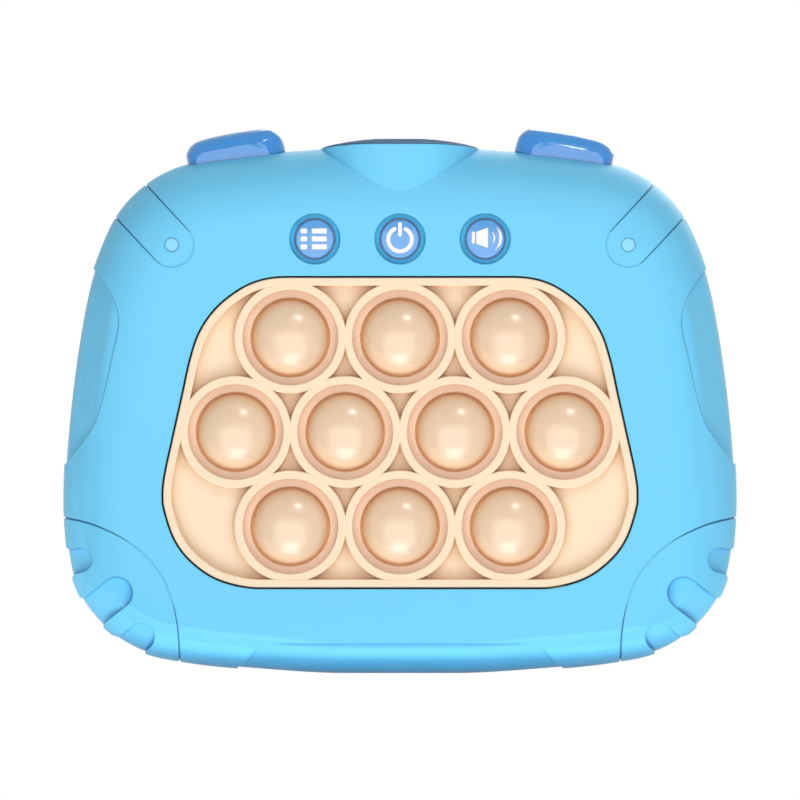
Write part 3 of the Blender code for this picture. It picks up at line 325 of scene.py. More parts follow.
def moulded_finish(
        name, colour, roughness, drift=0.04, grain=0.02, edge=0.3, metallic=0.0, coat=0.0,
        specular=0.5, corner=(0.45, 0.45, 0.45), strength=0.6, reach=1.0):
    """A material for a moulded piece; corner is its colour's share where shade is painted into
    tight corners.
    """
    material = bpy.data.materials.new(name)
    tree = shader_tree(material)
    surface = add_node(tree, "ShaderNodeGroup", {
        "Colour": screen_colour(colour), "Drift": drift, "Roughness": roughness,
        "Painted Shade Colour": screen_colour(one * part for one, part in zip(colour, corner)),
        "Painted Shade Strength": strength, "Painted Shade Reach": reach * mm}, node_tree=moulded_group)
    rounding = add_node(tree, "ShaderNodeBevel", {"Radius": edge * mm}, samples=6)
    bump = add_node(tree, "ShaderNodeBump", {
        "Strength": grain * bump_gain, "Distance": bump_height, "Height": surface["Grain"],
        "Normal": rounding[0]})
    shader = add_node(tree, "ShaderNodeBsdfPrincipled", {
        "Base Color": surface["Colour"], "Roughness": surface["Roughness"], "Normal": bump[0],
        "Metallic": metallic, "Coat Weight": coat, "Coat Roughness": coat_roughness,
        "Specular IOR Level": specular})
    add_node(tree, "ShaderNodeOutputMaterial", {0: shader[0]})
    return material


# Painted shade: corner, strength and reach set how dark each finish is painted in corners, seams
# and gaps.
case_blue = moulded_finish(
    "case_blue", (120, 214, 254), 0.46, edge=0.5, specular=0.25, corner=(0.2, 0.52, 0.66),
    strength=0.7, reach=0.8)
# Painted shade: the well floors and walls get this darker blue.
well_painted_shade = moulded_finish(
    "well_painted_shade", (64, 194, 234), 0.35, specular=0.3, corner=(0.3, 0.4, 0.5), strength=0.5,
    reach=0.8)
# Painted highlight: the strap pins get this lighter blue.
pin_painted_highlight = moulded_finish("pin_painted_highlight", (148, 225, 255), 0.42, specular=0.3)
# Painted shade darkens the pad's pockets towards their walls.
silicone = moulded_finish(
    "silicone_cream", (252, 228, 196), 0.55, edge=0.2, corner=(0.75, 0.62, 0.52),
    strength=0.65, reach=3.8)
gap_shadow = moulded_finish("gap_shadow", (34, 44, 38), 0.7)
# Painted shade darkens each bubble's sunk ring round its dome.
bubble_silicone = moulded_finish(
    "bubble_cream", (236, 204, 170), 0.28, specular=1.0, corner=(0.9, 0.76, 0.6),
    strength=0.9, reach=3.2)
button_blue = moulded_finish(
    "button_blue", (80, 156, 224), 0.2, coat=0.25, specular=0.6, reach=0.5)
shoulder_blue = moulded_finish(
    "shoulder_blue", (24, 148, 232), 0.14, drift=0.02, grain=0.0, edge=0.15, coat=0.6)
lens_blue = moulded_finish(
    "lens_blue", (66, 112, 158), 0.35, drift=0.02, grain=0.0, coat=0.12, specular=0.0)
print_white = moulded_finish("print_white", (250, 250, 252), 0.4)
steel = moulded_finish("steel", (196, 198, 202), 0.28, metallic=1.0, edge=0.1)
dark_steel = moulded_finish("screw_dark", (70, 72, 76), 0.35, metallic=1.0, edge=0.1)
print("finishes:", len(bpy.data.materials))

# %% [markdown]
# ## Outlines
# The case, the pad and the recesses are all flat outlines first. A designer draws such an
# outline with few points and lets a smooth curve run through them. Here the points are
# shares of the case's half width and height, so the outline grows with the case.

# %% Draw smooth outlines
quarter = math.pi / 2
outline_steps = 8
small_segments = 40
bend_steps = 6
case_outline_shares = (
    (0.165, 0.0), (0.448, 0.0105), (0.636, 0.0233), (0.777, 0.0451), (0.895, 0.0984),
    (0.973, 0.1803), (1.0, 0.3193), (0.985, 0.492), (0.946, 0.6724), (0.900, 0.7889),
    (0.819, 0.8903), (0.677, 0.9579), (0.471, 0.9827), (0.236, 0.9955), (0.0, 1.0))


def smooth_chain(knots, steps, before=None, after=None):
    """Points on a smooth curve through the knots; before and after set its end slopes."""
    chain = [before or knots[0], *knots, after or knots[-1]]
    points = []
    for lead, start, end, trail in zip(chain, chain[1:], chain[2:], chain[3:]):
        for step in range(steps):
            t = step / steps
            slope = (end - lead) * t
            bend = (lead * 2 - start * 5 + end * 4 - trail) * t ** 2
            twist = (start * 3 - lead - end * 3 + trail) * t ** 3
            points.append((start * 2 + slope + bend + twist) / 2)
    return [*points, knots[-1]]


def mirrored(loop):
    """An outline's mirror image on the other side of the toy, in the same sense."""
    return [Vector((-point.x, point.y)) for point in reversed(loop)]


def both_sides(loop):
    """The outline and its mirror image."""
    return [loop, mirrored(loop)]


def level_guide(end, neighbour):
    """The guide that makes a curve leave its end knot level."""
    return Vector((2 * end.x - neighbour.x, neighbour.y))


def symmetric_loop(knots):
    """A closed outline from the knots of its right half, bottom to top."""
    reach = max(knot.x for knot in knots)
    curve = smooth_chain(
        knots, outline_steps, level_guide(knots[0], knots[1]), level_guide(knots[-1], knots[-2]))
    right = [Vector((min(point.x, reach), point.y)) for point in curve]
    return right + mirrored([point for point in right if point.x > 0])


def case_points(shares):
    """Places on the front of the case from shares of its half width and height."""
    return [Vector((x * half_width, case_bottom + z * case_height)) for x, z in shares]


def around(loop):
    """Each point of a closed outline with the one after it."""
    return zip(loop, [*loop[1:], loop[0]])


def offset_loop(loop, distance):
    """The closed outline moved outwards by a distance, inwards where it is negative."""
    moved = []
    for before, (point, after) in zip([loop[-1], *loop], around(loop)):
        into = (point - before).normalized()
        out = (after - point).normalized()
        normal = Vector((into.y + out.y, -into.x - out.x))
        moved.append(point + normal * (distance / (1 + into.dot(out))))
    return moved


def arc(centre, radius, start, sweep, steps):
    """Points of a round arc that begins at an angle and sweeps through another."""
    turns = [start + sweep * step / steps for step in range(steps + 1)]
    return [Vector(centre) + Vector((math.cos(turn), math.sin(turn))) * radius for turn in turns]


def circle_loop(centre, radius, segments, start=0):
    """A round outline that begins at an angle."""
    return arc(centre, radius, start, 4 * quarter, segments)[:-1]


def stadium_loop(centre, radius, angle, length, segments):
    """A strip with one round end at the centre, running away at an angle in degrees."""
    turn = math.radians(angle)
    along = Vector((math.cos(turn), math.sin(turn))) * length
    round_end = arc(centre, radius, turn + quarter, 2 * quarter, segments)
    return [round_end[-1] + along, round_end[0] + along, *round_end]


case_loop = symmetric_loop(case_points(case_outline_shares))
print("case outline points:", len(case_loop))

# %% [markdown]
# ## From outline to solid
# A moulded form often keeps one outline while its edge rounds over, so a solid is made
# as a stack of rings: each ring is the outline, moved in or out, at its own depth. An
# extrusion of the ring's edges skins one ring to the next, and the two ends are filled.

# %% Make solids from outlines
merge_distance = 0.001 * mm
upright = Matrix.Rotation(quarter, 4, "X")


def tell_open_edges(name, shape):
    """Say where a solid isn't closed, because a Boolean needs closed solids."""
    loose = sum(not edge.is_manifold for edge in shape.edges)
    if loose:
        print("OPEN EDGES:", name, loose)


def link_shape(name, shape):
    """Close the bmesh into a mesh object in the scene."""
    bmesh.ops.recalc_face_normals(shape, faces=shape.faces)
    tell_open_edges(name, shape)
    return mesh_object(name, shape)


def partner(corner, fresh):
    """The new corner that an extrusion made from an old one."""
    ends = (edge.other_vert(corner) for edge in corner.link_edges)
    return next(end for end in ends if end in fresh)


def fill_ring(shape, ring):
    """Close a flat ring of edges with triangles."""
    ends = bmesh.ops.contextual_create(shape, geom=ring)["faces"]
    bmesh.ops.triangulate(shape, faces=ends)


def add_rings(shape, rings, closed=False):
    """Extrude an outline through (outline, depth) rings, capped or closed to a tube."""
    outline, depth = rings[0]
    corners = [shape.verts.new((point.x, depth, point.y)) for point in outline]
    ring = [shape.edges.new(pair) for pair in around(corners)]
    first_ring = ring
    for outline, depth in [*rings[1:], *(rings[:1] if closed else ())]:
        grown = bmesh.ops.extrude_edge_only(shape, edges=ring)["geom"]
        fresh = {item for item in grown if isinstance(item, bmesh.types.BMVert)}
        ring = [
            item for item in grown
            if isinstance(item, bmesh.types.BMEdge) and fresh.issuperset(item.verts)]
        corners = [partner(corner, fresh) for corner in corners]
        for corner, point in zip(corners, outline):
            corner.co = (point.x, depth, point.y)
    if closed:
        bmesh.ops.remove_doubles(shape, verts=shape.verts, dist=merge_distance)
    else:
        fill_ring(shape, first_ring)
        fill_ring(shape, ring)


def add_stack(shape, loop, sections, closed=False):
    """Extrude one outline through sections that move it by an offset at each depth."""
    add_rings(shape, [(offset_loop(loop, offset), depth) for offset, depth in sections], closed)


def stack(name, loops, sections, closed=False):
    """A solid, or several that don't touch, from outlines and their sections."""
    shape = bmesh.new()
    for loop in loops:
        add_stack(shape, loop, sections, closed)
    return link_shape(name, shape)


def curve_shape(name, lines, cyclic, **settings):
    """A bmesh of the solid that a curve draws from its lines and settings."""
    curve = bpy.data.curves.new(name, "CURVE")
    for key, value in settings.items():
        setattr(curve, key, value)
    for line in lines:
        spline = curve.splines.new("POLY")
        spline.points.add(len(line) - 1)
        for target, point in zip(spline.points, line):
            target.co = (*point, 1)
        spline.use_cyclic_u = cyclic
    drawn = bpy.data.objects.new(name, curve)
    shape = bmesh.new()
    shape.from_mesh(bpy.data.meshes.new_from_object(drawn))
    bpy.data.objects.remove(drawn)
    bmesh.ops.remove_doubles(shape, verts=shape.verts, dist=merge_distance)
    return shape


def slab(name, loops, near_y, far_y):
    """A plate drawn as a filled curve, where outlines inside others are holes."""
    lines = [[(*point, 0) for point in loop] for loop in loops]
    shape = curve_shape(
        name, lines, True, dimensions="2D", fill_mode="BOTH", extrude=(far_y - near_y) / 2)
    middle = Matrix.Translation((0, (near_y + far_y) / 2, 0))
    bmesh.ops.transform(shape, matrix=middle @ upright, verts=shape.verts)
    return link_shape(name, shape)


def quarter_turn(steps):
    """The sine and cosine at each step of a quarter turn."""
    turns = [quarter * step / steps for step in range(steps + 1)]
    return [(math.sin(turn), math.cos(turn)) for turn in turns]


def round_edge(offset, depth, across, into, steps):
    """Sections of a quarter-round edge, so far across the outline and into the depth."""
    return [
        (offset + across * (1 - sine), depth + into * (1 - cosine))
        for sine, cosine in quarter_turn(steps)]


def carve(target, operation, *tools):
    """Add, cut or intersect with other solids, which are used up."""
    for tool in tools:
        step = target.modifiers.new(operation, "BOOLEAN")
        step.operation = operation
        step.solver = "MANIFOLD"
        step.object = tool
    bpy.context.view_layer.update()
    view = bpy.context.evaluated_depsgraph_get()
    shaped = bpy.data.meshes.new_from_object(target.evaluated_get(view), depsgraph=view)
    target.modifiers.clear()
    target.data = shaped
    for tool in tools:
        bpy.data.objects.remove(tool, do_unlink=True)
    shape = bmesh.new()
    shape.from_mesh(shaped)
    tell_open_edges(target.name, shape)
    shape.free()
    return target


def cut(target, *tools):
    """Cut the tools' shapes out of the target."""
    return carve(target, "DIFFERENCE", *tools)


# %% [markdown]
# ## Finish of a piece
# Shading decides how a moulded piece reads. Faces are shaded smooth, edges sharper than a
# set angle stay crisp, and the Weighted Normal modifier lets the big flat faces keep their
# own direction, so that no shadow creeps over them from the rounded edges.

# %% Finish a piece
sharp_angle = math.radians(32)
case_crisp = math.radians(14)
flat_face_weight = 60


def finish_piece(made, name, body, material, replaced=(), crisp=sharp_angle):
    """Shade, paint and name a piece, and let it ride with a body of the model."""
    made.name = name
    made.data.name = name
    made.data.shade_smooth()
    made.data.set_sharp_from_angle(angle=crisp)
    weighted = made.modifiers.new("flat_faces_lead", "WEIGHTED_NORMAL")
    weighted.keep_sharp = True
    weighted.weight = flat_face_weight
    if material is not None:
        made.data.materials.clear()
        made.data.materials.append(material)
    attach(made, body)
    if replaced:
        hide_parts(*replaced)
    print(name, len(made.data.polygons), "faces")


def paint_faces(made, finishes, choose):
    """Add finishes, and let choose() pick one by number from the middle of each face."""
    for finish in finishes:
        made.data.materials.append(finish)
    for face in made.data.polygons:
        face.material_index = choose(face.center)


# %% [markdown]
# ## The whole case, before it is split
# The case is one rounded pillow. Recesses on both sides, grooves for the fingers on the
# lower corners and a long recess under the front are cut into it. Each is cut down to an
# inner core whose chamfers ease into its sides, so what stays there is a crisp plane and
# not a copy of the round edge. Fine seams outline the strap tabs and the lower grips.

# %% Shape the case and the side recesses
front_round = 17.5 * mm
rear_round = 14.0 * mm
round_steps = 14
roll_steps = 5
through_front = front_y - overrun
through_back = back_y + overrun
grip_border_shares = (
    (0.913, 0.7716), (0.855, 0.719), (0.835, 0.6687), (0.854, 0.6048), (0.883, 0.5237),
    (0.914, 0.4666), (0.995, 0.399))
grip_outer_share = 1.09
grip_core_mm = (
    (11.0, 2.3), (9.6, 2.45), (8.2, 3.0), (6.8, 4.3), (5.3, 6.7), (4.0, 8.7), (2.9, 10.4),
    (1.9, 12.0), (1.15, 13.8), (0.8, 15.6), (0.7, 17.4))


def pillow(name, inset, steps):
    """The rounded case, moved inwards by an inset."""
    near, far = front_round - inset, rear_round - inset
    front = round_edge(-inset, front_y + inset, -near, near, steps)
    rear = round_edge(-inset, back_y - inset, -far, -far, steps)
    return stack(name, [case_loop], [*front, *reversed(rear)])


def chamfered_core(name, places_mm):
    """The case with flat chamfers in place of its round edges, from (inset, depth) places."""
    rear_share = rear_round / front_round * mm
    front = [(-inset * mm, front_y + depth * mm) for inset, depth in places_mm]
    rear = [(-inset * rear_share, back_y - depth * rear_share) for inset, depth in places_mm]
    rear[-1] = (front[-1][0], rear[-1][1])
    return stack(name, [case_loop], [*front, *reversed(rear)])


def region_over(name, loops, core):
    """What is cut away inside the outlines, down to the core that stays."""
    return cut(slab(name, loops, through_front, through_back), core)


grip_knots = case_points(grip_border_shares)
grip_outer = [Vector((grip_outer_share * half_width, grip_knots[end].y)) for end in (-1, 0)]
grip_loop = smooth_chain(grip_knots, outline_steps) + grip_outer
grip_core = chamfered_core(
    "grip_core", smooth_chain([Vector(place) for place in grip_core_mm], roll_steps))
grip_recesses = region_over("grip_recesses", both_sides(grip_loop), grip_core)
print("side recess faces:", len(grip_recesses.data.polygons))

# %% Shape the finger grooves and the foot recess
groove_shares = ((0.9505, 0.2179), (0.842, 0.1555), (0.770, 0.0721))
groove_angles = (-14.0, -38.0, -40.0)
groove_radii = (3.1 * mm, 4.1 * mm, 3.5 * mm)
groove_length = 26.0 * mm
groove_flare = 1.3 * mm
groove_crease_depth = 4.2 * mm
groove_end_segments = 24
groove_core_mm = (
    (7.1, 4.2), (2.6, 11.1), (1.75, 12.6), (1.15, 14.1), (0.8, 15.8), (0.7, 17.4))
foot_border_shares = (
    (0.482, 0.015), (0.463, 0.0218), (0.446, 0.0346), (0.428, 0.0473), (0.400, 0.0579),
    (0.369, 0.0594))
foot_below_share = 0.06
foot_steps = 4
foot_core_mm = (
    (6.7, 3.6), (2.4, 10.5), (1.5, 12.1), (0.9, 13.7), (0.6, 15.4), (0.5, 17.0))


def crossing(start, end, loop):
    """Where a straight line first meets a closed outline."""
    for near, far in around(loop):
        hit = intersect_line_line_2d(start, end, near, far)
        if hit is not None:
            return hit
    return end


def flared_groove(centre, radius, angle):
    """A strip with a round end whose other end widens as it runs out over the case's side."""
    plain = stadium_loop(centre, radius, angle, groove_length, groove_end_segments)
    along = (plain[1] - plain[2]).normalized()
    sides = []
    for far, near in ((plain[0], plain[-1]), (plain[1], plain[2])):
        flare = (near - centre).normalized() * groove_flare
        rim = (crossing(near, far, case_loop) - near).length - groove_flare
        corner = near + along * rim + flare
        bend = [
            corner + along * (groove_flare * sine) - flare * cosine
            for sine, cosine in reversed(quarter_turn(bend_steps))]
        sides.append([far + flare, *bend])
    return [*reversed(sides[0]), *sides[1], *plain[2:]]


def groove_loops(margin):
    """The six groove outlines, grown by a margin."""
    loops = []
    for place, angle, radius in zip(case_points(groove_shares), groove_angles, groove_radii):
        loops += both_sides(flared_groove(place, radius + margin, angle))
    return loops


groove_core = chamfered_core("groove_core", groove_core_mm)
grooves = region_over("finger_grooves", groove_loops(0), groove_core)
foot_knots = case_points(foot_border_shares)
foot_corner = Vector((foot_knots[0].x, case_bottom - foot_below_share * case_height))
foot_right = [foot_corner, *smooth_chain(foot_knots, foot_steps)]
foot_core = chamfered_core("foot_core", foot_core_mm)
foot_recess = region_over("foot_recess", [foot_right + mirrored(foot_right)], foot_core)
print("groove and foot faces:", len(grooves.data.polygons), len(foot_recess.data.polygons))

# %% [markdown]
# ## Seams
# The strap tabs on the upper corners and the arcs over the grips are part of the shell: the
# mould only draws their outline. The line is deep near the edge of the case, where its
# depth and the shade that the case finish paints in make it dark, and it fades where it
# turns round, so its ribbon is widest at its ends. The lines run on over the sides to the
# back. Each tab has a pin in front, painted a lighter blue as a painted highlight.

# %% Cut the seam lines
seam_wide = 0.42 * mm
seam_fine = 0.16 * mm
seam_depth = 0.45 * mm
seam_full_share = 0.4
seam_faint_width = 0.3 * mm
seam_faint_depth = 0.1 * mm
seam_end_share = 0.31
strap_centre = case_points([(0.6784, 0.8152)])[0]
strap_angle = 47.0
strap_radius = 5.6 * mm
strap_length = 40.0 * mm
strap_segments = 28
strap_side_steps = 20
arc_shares = (
    (1.02, 0.3013), (0.907, 0.284), (0.797, 0.2479), (0.7185, 0.1983), (0.677, 0.139),
    (0.658, 0.0729), (0.654, -0.03))
dot_radius = 1.8 * mm
dot_line = 0.16 * mm


def ribbon_loop(path, width_at):
    """A closed strip along an open path; width_at gives its width at each share of it."""
    near, far = [], []
    for index, point in enumerate(path):
        along = (path[min(index + 1, len(path) - 1)] - path[max(index - 1, 0)]).normalized()
        side = Vector((-along.y, along.x)) * (width_at(index / (len(path) - 1)) / 2)
        near.append(point - side)
        far.append(point + side)
    return near + far[::-1]


def tapered_width(share):
    """Wide at the edge of the case, fine where a seam turns faint."""
    taper = max(share - seam_full_share, 0) / (1 - seam_full_share)
    return seam_wide + (seam_fine - seam_wide) * taper


def faint_width(share):
    """The same width all along the faint part of a seam."""
    return seam_faint_width


def divided(start, end):
    """Evenly spaced points from start up to, but not with, end."""
    steps = strap_side_steps
    return [start + (end - start) * (index / steps) for index in range(steps)]


strap_outline = stadium_loop(
    strap_centre, strap_radius, strap_angle, strap_length, strap_segments)
strap_turn = strap_outline[2:]
strap_path = [
    *divided(strap_outline[1], strap_turn[0]), *strap_turn[:-1],
    *reversed(divided(strap_outline[0], strap_turn[-1]))]
arc_path = smooth_chain(case_points(arc_shares), outline_steps)
deep_ribbons, faint_ribbons = [], []
for path in (strap_path, arc_path):
    turn = round(len(path) * seam_end_share)
    for end in (path[:turn + 1], path[:-turn - 2:-1]):
        deep_ribbons += both_sides(ribbon_loop(end, tapered_width))
    faint_ribbons += both_sides(ribbon_loop(path[turn:-turn], faint_width))
seams = region_over("seams", deep_ribbons, pillow("seam_core", seam_depth, round_steps))
faint_seams = region_over(
    "faint_seams", faint_ribbons, pillow("faint_core", seam_faint_depth, round_steps))
dot_loops = [
    circle_loop((side * strap_centre.x, strap_centre.y), dot_radius, small_segments)
    for side in (-1, 1)]
dots = stack(
    "dots", dot_loops,
    ((0, through_front), (0, part_y), (-dot_line, part_y), (-dot_line, through_front)), True)
cut(dots, pillow("dot_core", seam_depth / 2, round_steps))
print("seam ribbons:", len(deep_ribbons), "deep,", len(faint_ribbons), "faint")

# %% [markdown]
# ## Turret
# The middle of the top carries a lamp under a lens. Its seat is an upright elliptic post
# that pokes through the round front edge, which draws the curved V in the photograph.

# %% Build the case body
turret_half_width = 20.3 * mm
turret_half_depth = 18.7 * mm
turret_root = 20.0 * mm
turret_proud = 0.9 * mm
turret_top = case_top + turret_proud
turret_sag = 1.5 * mm
turret_segments = 96


def sagged(made):
    """Lower a piece's two sides, as the top of the case falls away there."""
    for corner in made.data.vertices:
        corner.co.z -= turret_sag * (corner.co.x / turret_half_width) ** 4
    return made


def elliptic_post(name, half_x, half_y, low_z, high_z):
    """An upright post with an elliptic outline on the middle of the toy."""
    shape = bmesh.new()
    bmesh.ops.create_cone(
        shape, cap_ends=True, segments=turret_segments, radius1=1, radius2=1,
        depth=high_z - low_z)
    set_shape(shape, (half_x, half_y, 1), (0, part_y, (low_z + high_z) / 2))
    return link_shape(name, shape)


case_body = pillow("case_body", 0, round_steps)
turret = elliptic_post(
    "turret", turret_half_width, turret_half_depth, turret_top - turret_root, turret_top)
carve(case_body, "UNION", sagged(turret))
cut(case_body, grip_recesses, grooves, foot_recess, seams, faint_seams, dots)
print("case body faces:", len(case_body.data.polygons))

# %% [markdown]
# ## Front shell
# The body is cut at the parting line and hollowed. The opening for the pad and the wells of
# the buttons get an edge that rolls over, cut by tools that flare where they reach the
# front. The wells' floors are painted a darker blue ring, as painted shade.

# %% Make the front shell and its cutting tools
opening_half_width = 59.9 * mm
opening_height = 78.5 * mm
opening_bottom = 21.4 * mm
opening_outline_shares = (
    (0.593, 0.0), (0.761, 0.0255), (0.878, 0.0841), (0.952, 0.158), (0.995, 0.2562),
    (1.0, 0.3084), (0.990, 0.3708), (0.963, 0.4664), (0.920, 0.613), (0.885, 0.734),
    (0.845, 0.8232), (0.775, 0.8997), (0.674, 0.9608), (0.58, 0.991), (0.476, 1.0))
opening_roll = 0.4 * mm
opening_ease = 0.25 * mm
cap_radius = 4.85 * mm
well_radius = 6.4 * mm
well_depth = 1.6 * mm
well_roll = 0.25 * mm
well_segments = 72
bore_gap = 0.42 * mm
lens_neck_share = 0.66


def copied(source, name):
    """A second object with its own copy of a mesh."""
    return in_scene(name, source.data.copy())


def block(name, low, high):
    """A plain block between two corners."""
    shape = bmesh.new()
    bmesh.ops.create_cube(shape, size=1)
    set_shape(shape, Vector(high) - Vector(low), (Vector(high) + Vector(low)) / 2)
    return link_shape(name, shape)


def depth_slice(name, near_y, far_y):
    """The part of the case body between two depths."""
    reach = half_width + overrun
    keep = block(
        "keep", (-reach, near_y, case_bottom - overrun), (reach, far_y, case_top + overrun))
    return carve(copied(case_body, name), "INTERSECT", keep)


def flared(radius, floor_y):
    """Sections of a cut whose mouth at the front rolls over by a radius."""
    return [
        (radius, through_front), *round_edge(0, front_y, radius, radius, roll_steps),
        (0, floor_y)]


def middle_place(box):
    """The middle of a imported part's box, seen from the front."""
    return ((box[0] + box[1]) / 2).xz


def well_circles(radius):
    """A circle round the middle of each front button."""
    return [circle_loop(place, radius, well_segments) for place in button_places]


opening_loop = symmetric_loop([
    Vector((x * opening_half_width, opening_bottom + z * opening_height))
    for x, z in opening_outline_shares])
button_nodes = ("menu_button", "power_button", "volume_button")
button_boxes = [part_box(name) for name in button_nodes]
button_places = [middle_place(box) for box in button_boxes]
case_cavity = pillow("case_cavity", wall, roll_steps)
front_shell = depth_slice("front_shell", through_front, part_y - fit_gap / 2)
well_cut = stack("wells", well_circles(well_radius), flared(well_roll, front_y + well_depth))
bore_cut = slab(
    "bores", well_circles(cap_radius + bore_gap), through_front, front_y + wall + fit_gap)
opening_cut = stack(
    "opening", [offset_loop(opening_loop, opening_ease)], flared(opening_roll, part_y))
lens_hole = elliptic_post(
    "lens_hole", turret_half_width * lens_neck_share + fit_gap,
    turret_half_depth * lens_neck_share + fit_gap, case_top - turret_root / 2,
    case_top + turret_root / 2)
print("front buttons:", len(button_places))

# %% [markdown]
# ## Slots for the shoulder buttons
# Each shoulder button sits on a line that leans with the curve of the top, and slides
# square to that line. Its slot follows its outline from above, with a fine gap all round.

# %% Cut the front shell
shoulder_tilt = math.radians(6.9)
shoulder_base = Vector((41.3 * mm, 130.1 * mm))
shoulder_half_width = 12.5 * mm
shoulder_height = 6.25 * mm
shoulder_depth = 12.0 * mm
shoulder_root = 4.0 * mm
swell_depth = 4.0 * mm
swell_shares = (
    (0, 0), (0.015, 0.005), (0.32, 0.125), (0.58, 0.275), (0.79, 0.475), (0.935, 0.725), (1, 1))
panel_end_shares = (-0.808, 0.656)
groove_back_depth = groove_crease_depth + wall


def shoulder_plan(side):
    """A cap seen from above: a straight panel at each end, swelling to its full width."""
    right, left = [], []
    for spread, depth in swell_shares:
        y = shoulder_depth / 2 - depth * swell_depth
        right.append(Vector((panel_end_shares[1] * (1 - spread) + spread, y)))
        left.append(Vector((panel_end_shares[0] * (1 - spread) - spread, y)))
    half = [*reversed(right), *left]
    plan = half + [Vector((point.x, -point.y)) for point in reversed(half)]
    return [Vector((-side * point.x * shoulder_half_width, point.y)) for point in plan[::-side]]


def shoulder_slot(side):
    """The slot that a cap slides in, cut along the cap's own upright axis."""
    slot = stack("shoulder_slot", [shoulder_plan(side)], (
        (fit_gap, -shoulder_root - overrun / 2), (fit_gap, overrun)))
    lean = Matrix.Rotation(side * shoulder_tilt, 4, "Y")
    base = Matrix.Translation((side * shoulder_base.x, part_y, shoulder_base.y))
    slot.data.transform(base @ lean @ upright)
    return slot


def groove_backs(near_y, far_y):
    """Plates that keep a wall of plastic behind the finger grooves."""
    return [slab("groove_back", [loop], near_y, far_y) for loop in groove_loops(wall)]


cut(
    front_shell,
    cut(copied(case_cavity, "front_cavity"),
        *groove_backs(through_front, front_y + groove_back_depth)),
    opening_cut, well_cut, bore_cut, copied(lens_hole, "front_lens_hole"), shoulder_slot(-1),
    shoulder_slot(1))
print("front shell faces:", len(front_shell.data.polygons))

# %% [markdown]
# ## Lip behind the parting line
# Two shells that only butt together would let light through. A thin lip on the front shell
# reaches behind the line, inside the rear one. It stops at the shoulder buttons, the lens
# and the screw posts of the rear shell, which need its room.

# %% Add the lip and finish the front shell
lip_root = 3.0 * mm
lip_reach = 1.5 * mm
lip_thickness = 1.0 * mm
lip_anchor_share = 0.7
lip_anchor = -wall * lip_anchor_share
lip_outer = -wall - fit_gap / 2
lip_inner = lip_outer - lip_thickness
ear_width = 1.6 * mm
ear_half_depth = 5.0 * mm
rear_boss_radius = 4.3 * mm
screw_boxes = [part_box(f"case_screw_{number}") for number in range(1, 7)]
screw_places = [middle_place(box) for box in screw_boxes]


def rods(name, places, radius, near_y, far_y, segments=small_segments):
    """Round rods along Y at each place."""
    loops = [circle_loop(place, radius, segments) for place in places]
    return slab(name, loops, near_y, far_y)


def shoulder_point(side, across, up):
    """A place on a shoulder button from its own axes; side is -1 left, 1 right."""
    x = -shoulder_base.x + across * math.cos(shoulder_tilt) - up * math.sin(shoulder_tilt)
    z = shoulder_base.y + across * math.sin(shoulder_tilt) + up * math.cos(shoulder_tilt)
    return Vector((-side * x, z))


def shoulder_block(name, side, half_x, low, high, middle_y, half_y):
    """A block in a shoulder button's own axes."""
    corners = ((-half_x, low), (half_x, low), (half_x, high), (-half_x, high))
    loop = [shoulder_point(side, across, up) for across, up in corners]
    return slab(name, [loop], middle_y - half_y, middle_y + half_y)


def case_finish(middle):
    """1 for painted shade on the floors and walls of the button wells, 2 for a painted highlight
    on the pins of the strap tabs.
    """
    pin_reach = (Vector((abs(middle.x), middle.z)) - strap_centre).length
    if pin_reach < dot_radius - dot_line and middle.y < part_y:
        return 2
    reach = min((middle.xz - place).length for place in button_places)
    return int(
        reach < well_radius and front_y + well_roll < middle.y < front_y + wall + fit_gap)


lip = stack("lip", [case_loop], (
    (lip_anchor, part_y - lip_root), (lip_anchor, part_y - fit_gap),
    (lip_outer, part_y - fit_gap), (lip_outer, part_y + lip_reach),
    (lip_inner, part_y + lip_reach), (lip_inner, part_y - lip_root)), True)
button_rooms = [
    shoulder_block(
        "button_room", side, shoulder_half_width + ear_width + fit_gap, -2 * overrun, overrun,
        part_y, ear_half_depth + fit_gap)
    for side in (-1, 1)]
post_rooms = rods(
    "post_rooms", screw_places, rear_boss_radius + fit_gap, part_y - fit_gap, through_back)
cut(lip, copied(lens_hole, "lip_lens_hole"), *button_rooms, post_rooms)
carve(front_shell, "UNION", lip)
finish_piece(
    front_shell, "front_case", "case", case_blue, ("front_shell",), case_crisp)
# Painted shade on the well floors and walls, a painted highlight on the strap pins.
paint_faces(front_shell, [well_painted_shade, pin_painted_highlight], case_finish)

# %% [markdown]
# ## Rear shell
# The back isn't in the photograph, so it is what such a toy has: six screw wells, a battery
# door held by one screw, and a round grille for the loudspeaker.

# %% Cut the rear shell
door_low, door_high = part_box("battery_door")
door_screw_low, door_screw_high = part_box("battery_door_screw")
door_screw_z = (door_screw_low.z + door_screw_high.z) / 2
door_screw_place = [Vector((0, door_screw_z))]
door_screw_spare = 1.0 * mm
speaker_low, speaker_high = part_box("speaker")
speaker_place = [Vector((0, (speaker_low.z + speaker_high.z) / 2))]
speaker_pocket_radius = (speaker_high.x - speaker_low.x) / 2 + fit_gap
speaker_ring_wall = 1.4 * mm
speaker_ring_length = 4.0 * mm
door_thickness = 1.8 * mm
door_margin = 1.2 * mm
door_corner = 2.0 * mm
door_corner_steps = 8
door_tongue_radius = 5.0 * mm
door_tongue_rise = 3.2 * mm
door_tongue_steps = 16
door_bore_radius = 1.8 * mm
door_boss_radius = 3.8 * mm
door_boss_length = 7.0 * mm
cell_count = 3
cell_pitch = 11.0 * mm
cell_radius = 5.25 * mm
cell_spare = 2.0 * mm
door_tab_room = 3.2 * mm
tray_wall = 1.5 * mm
tray_half_length = door_high.x - door_margin
tray_top = door_high.z - door_tongue_radius - door_tongue_rise - door_margin
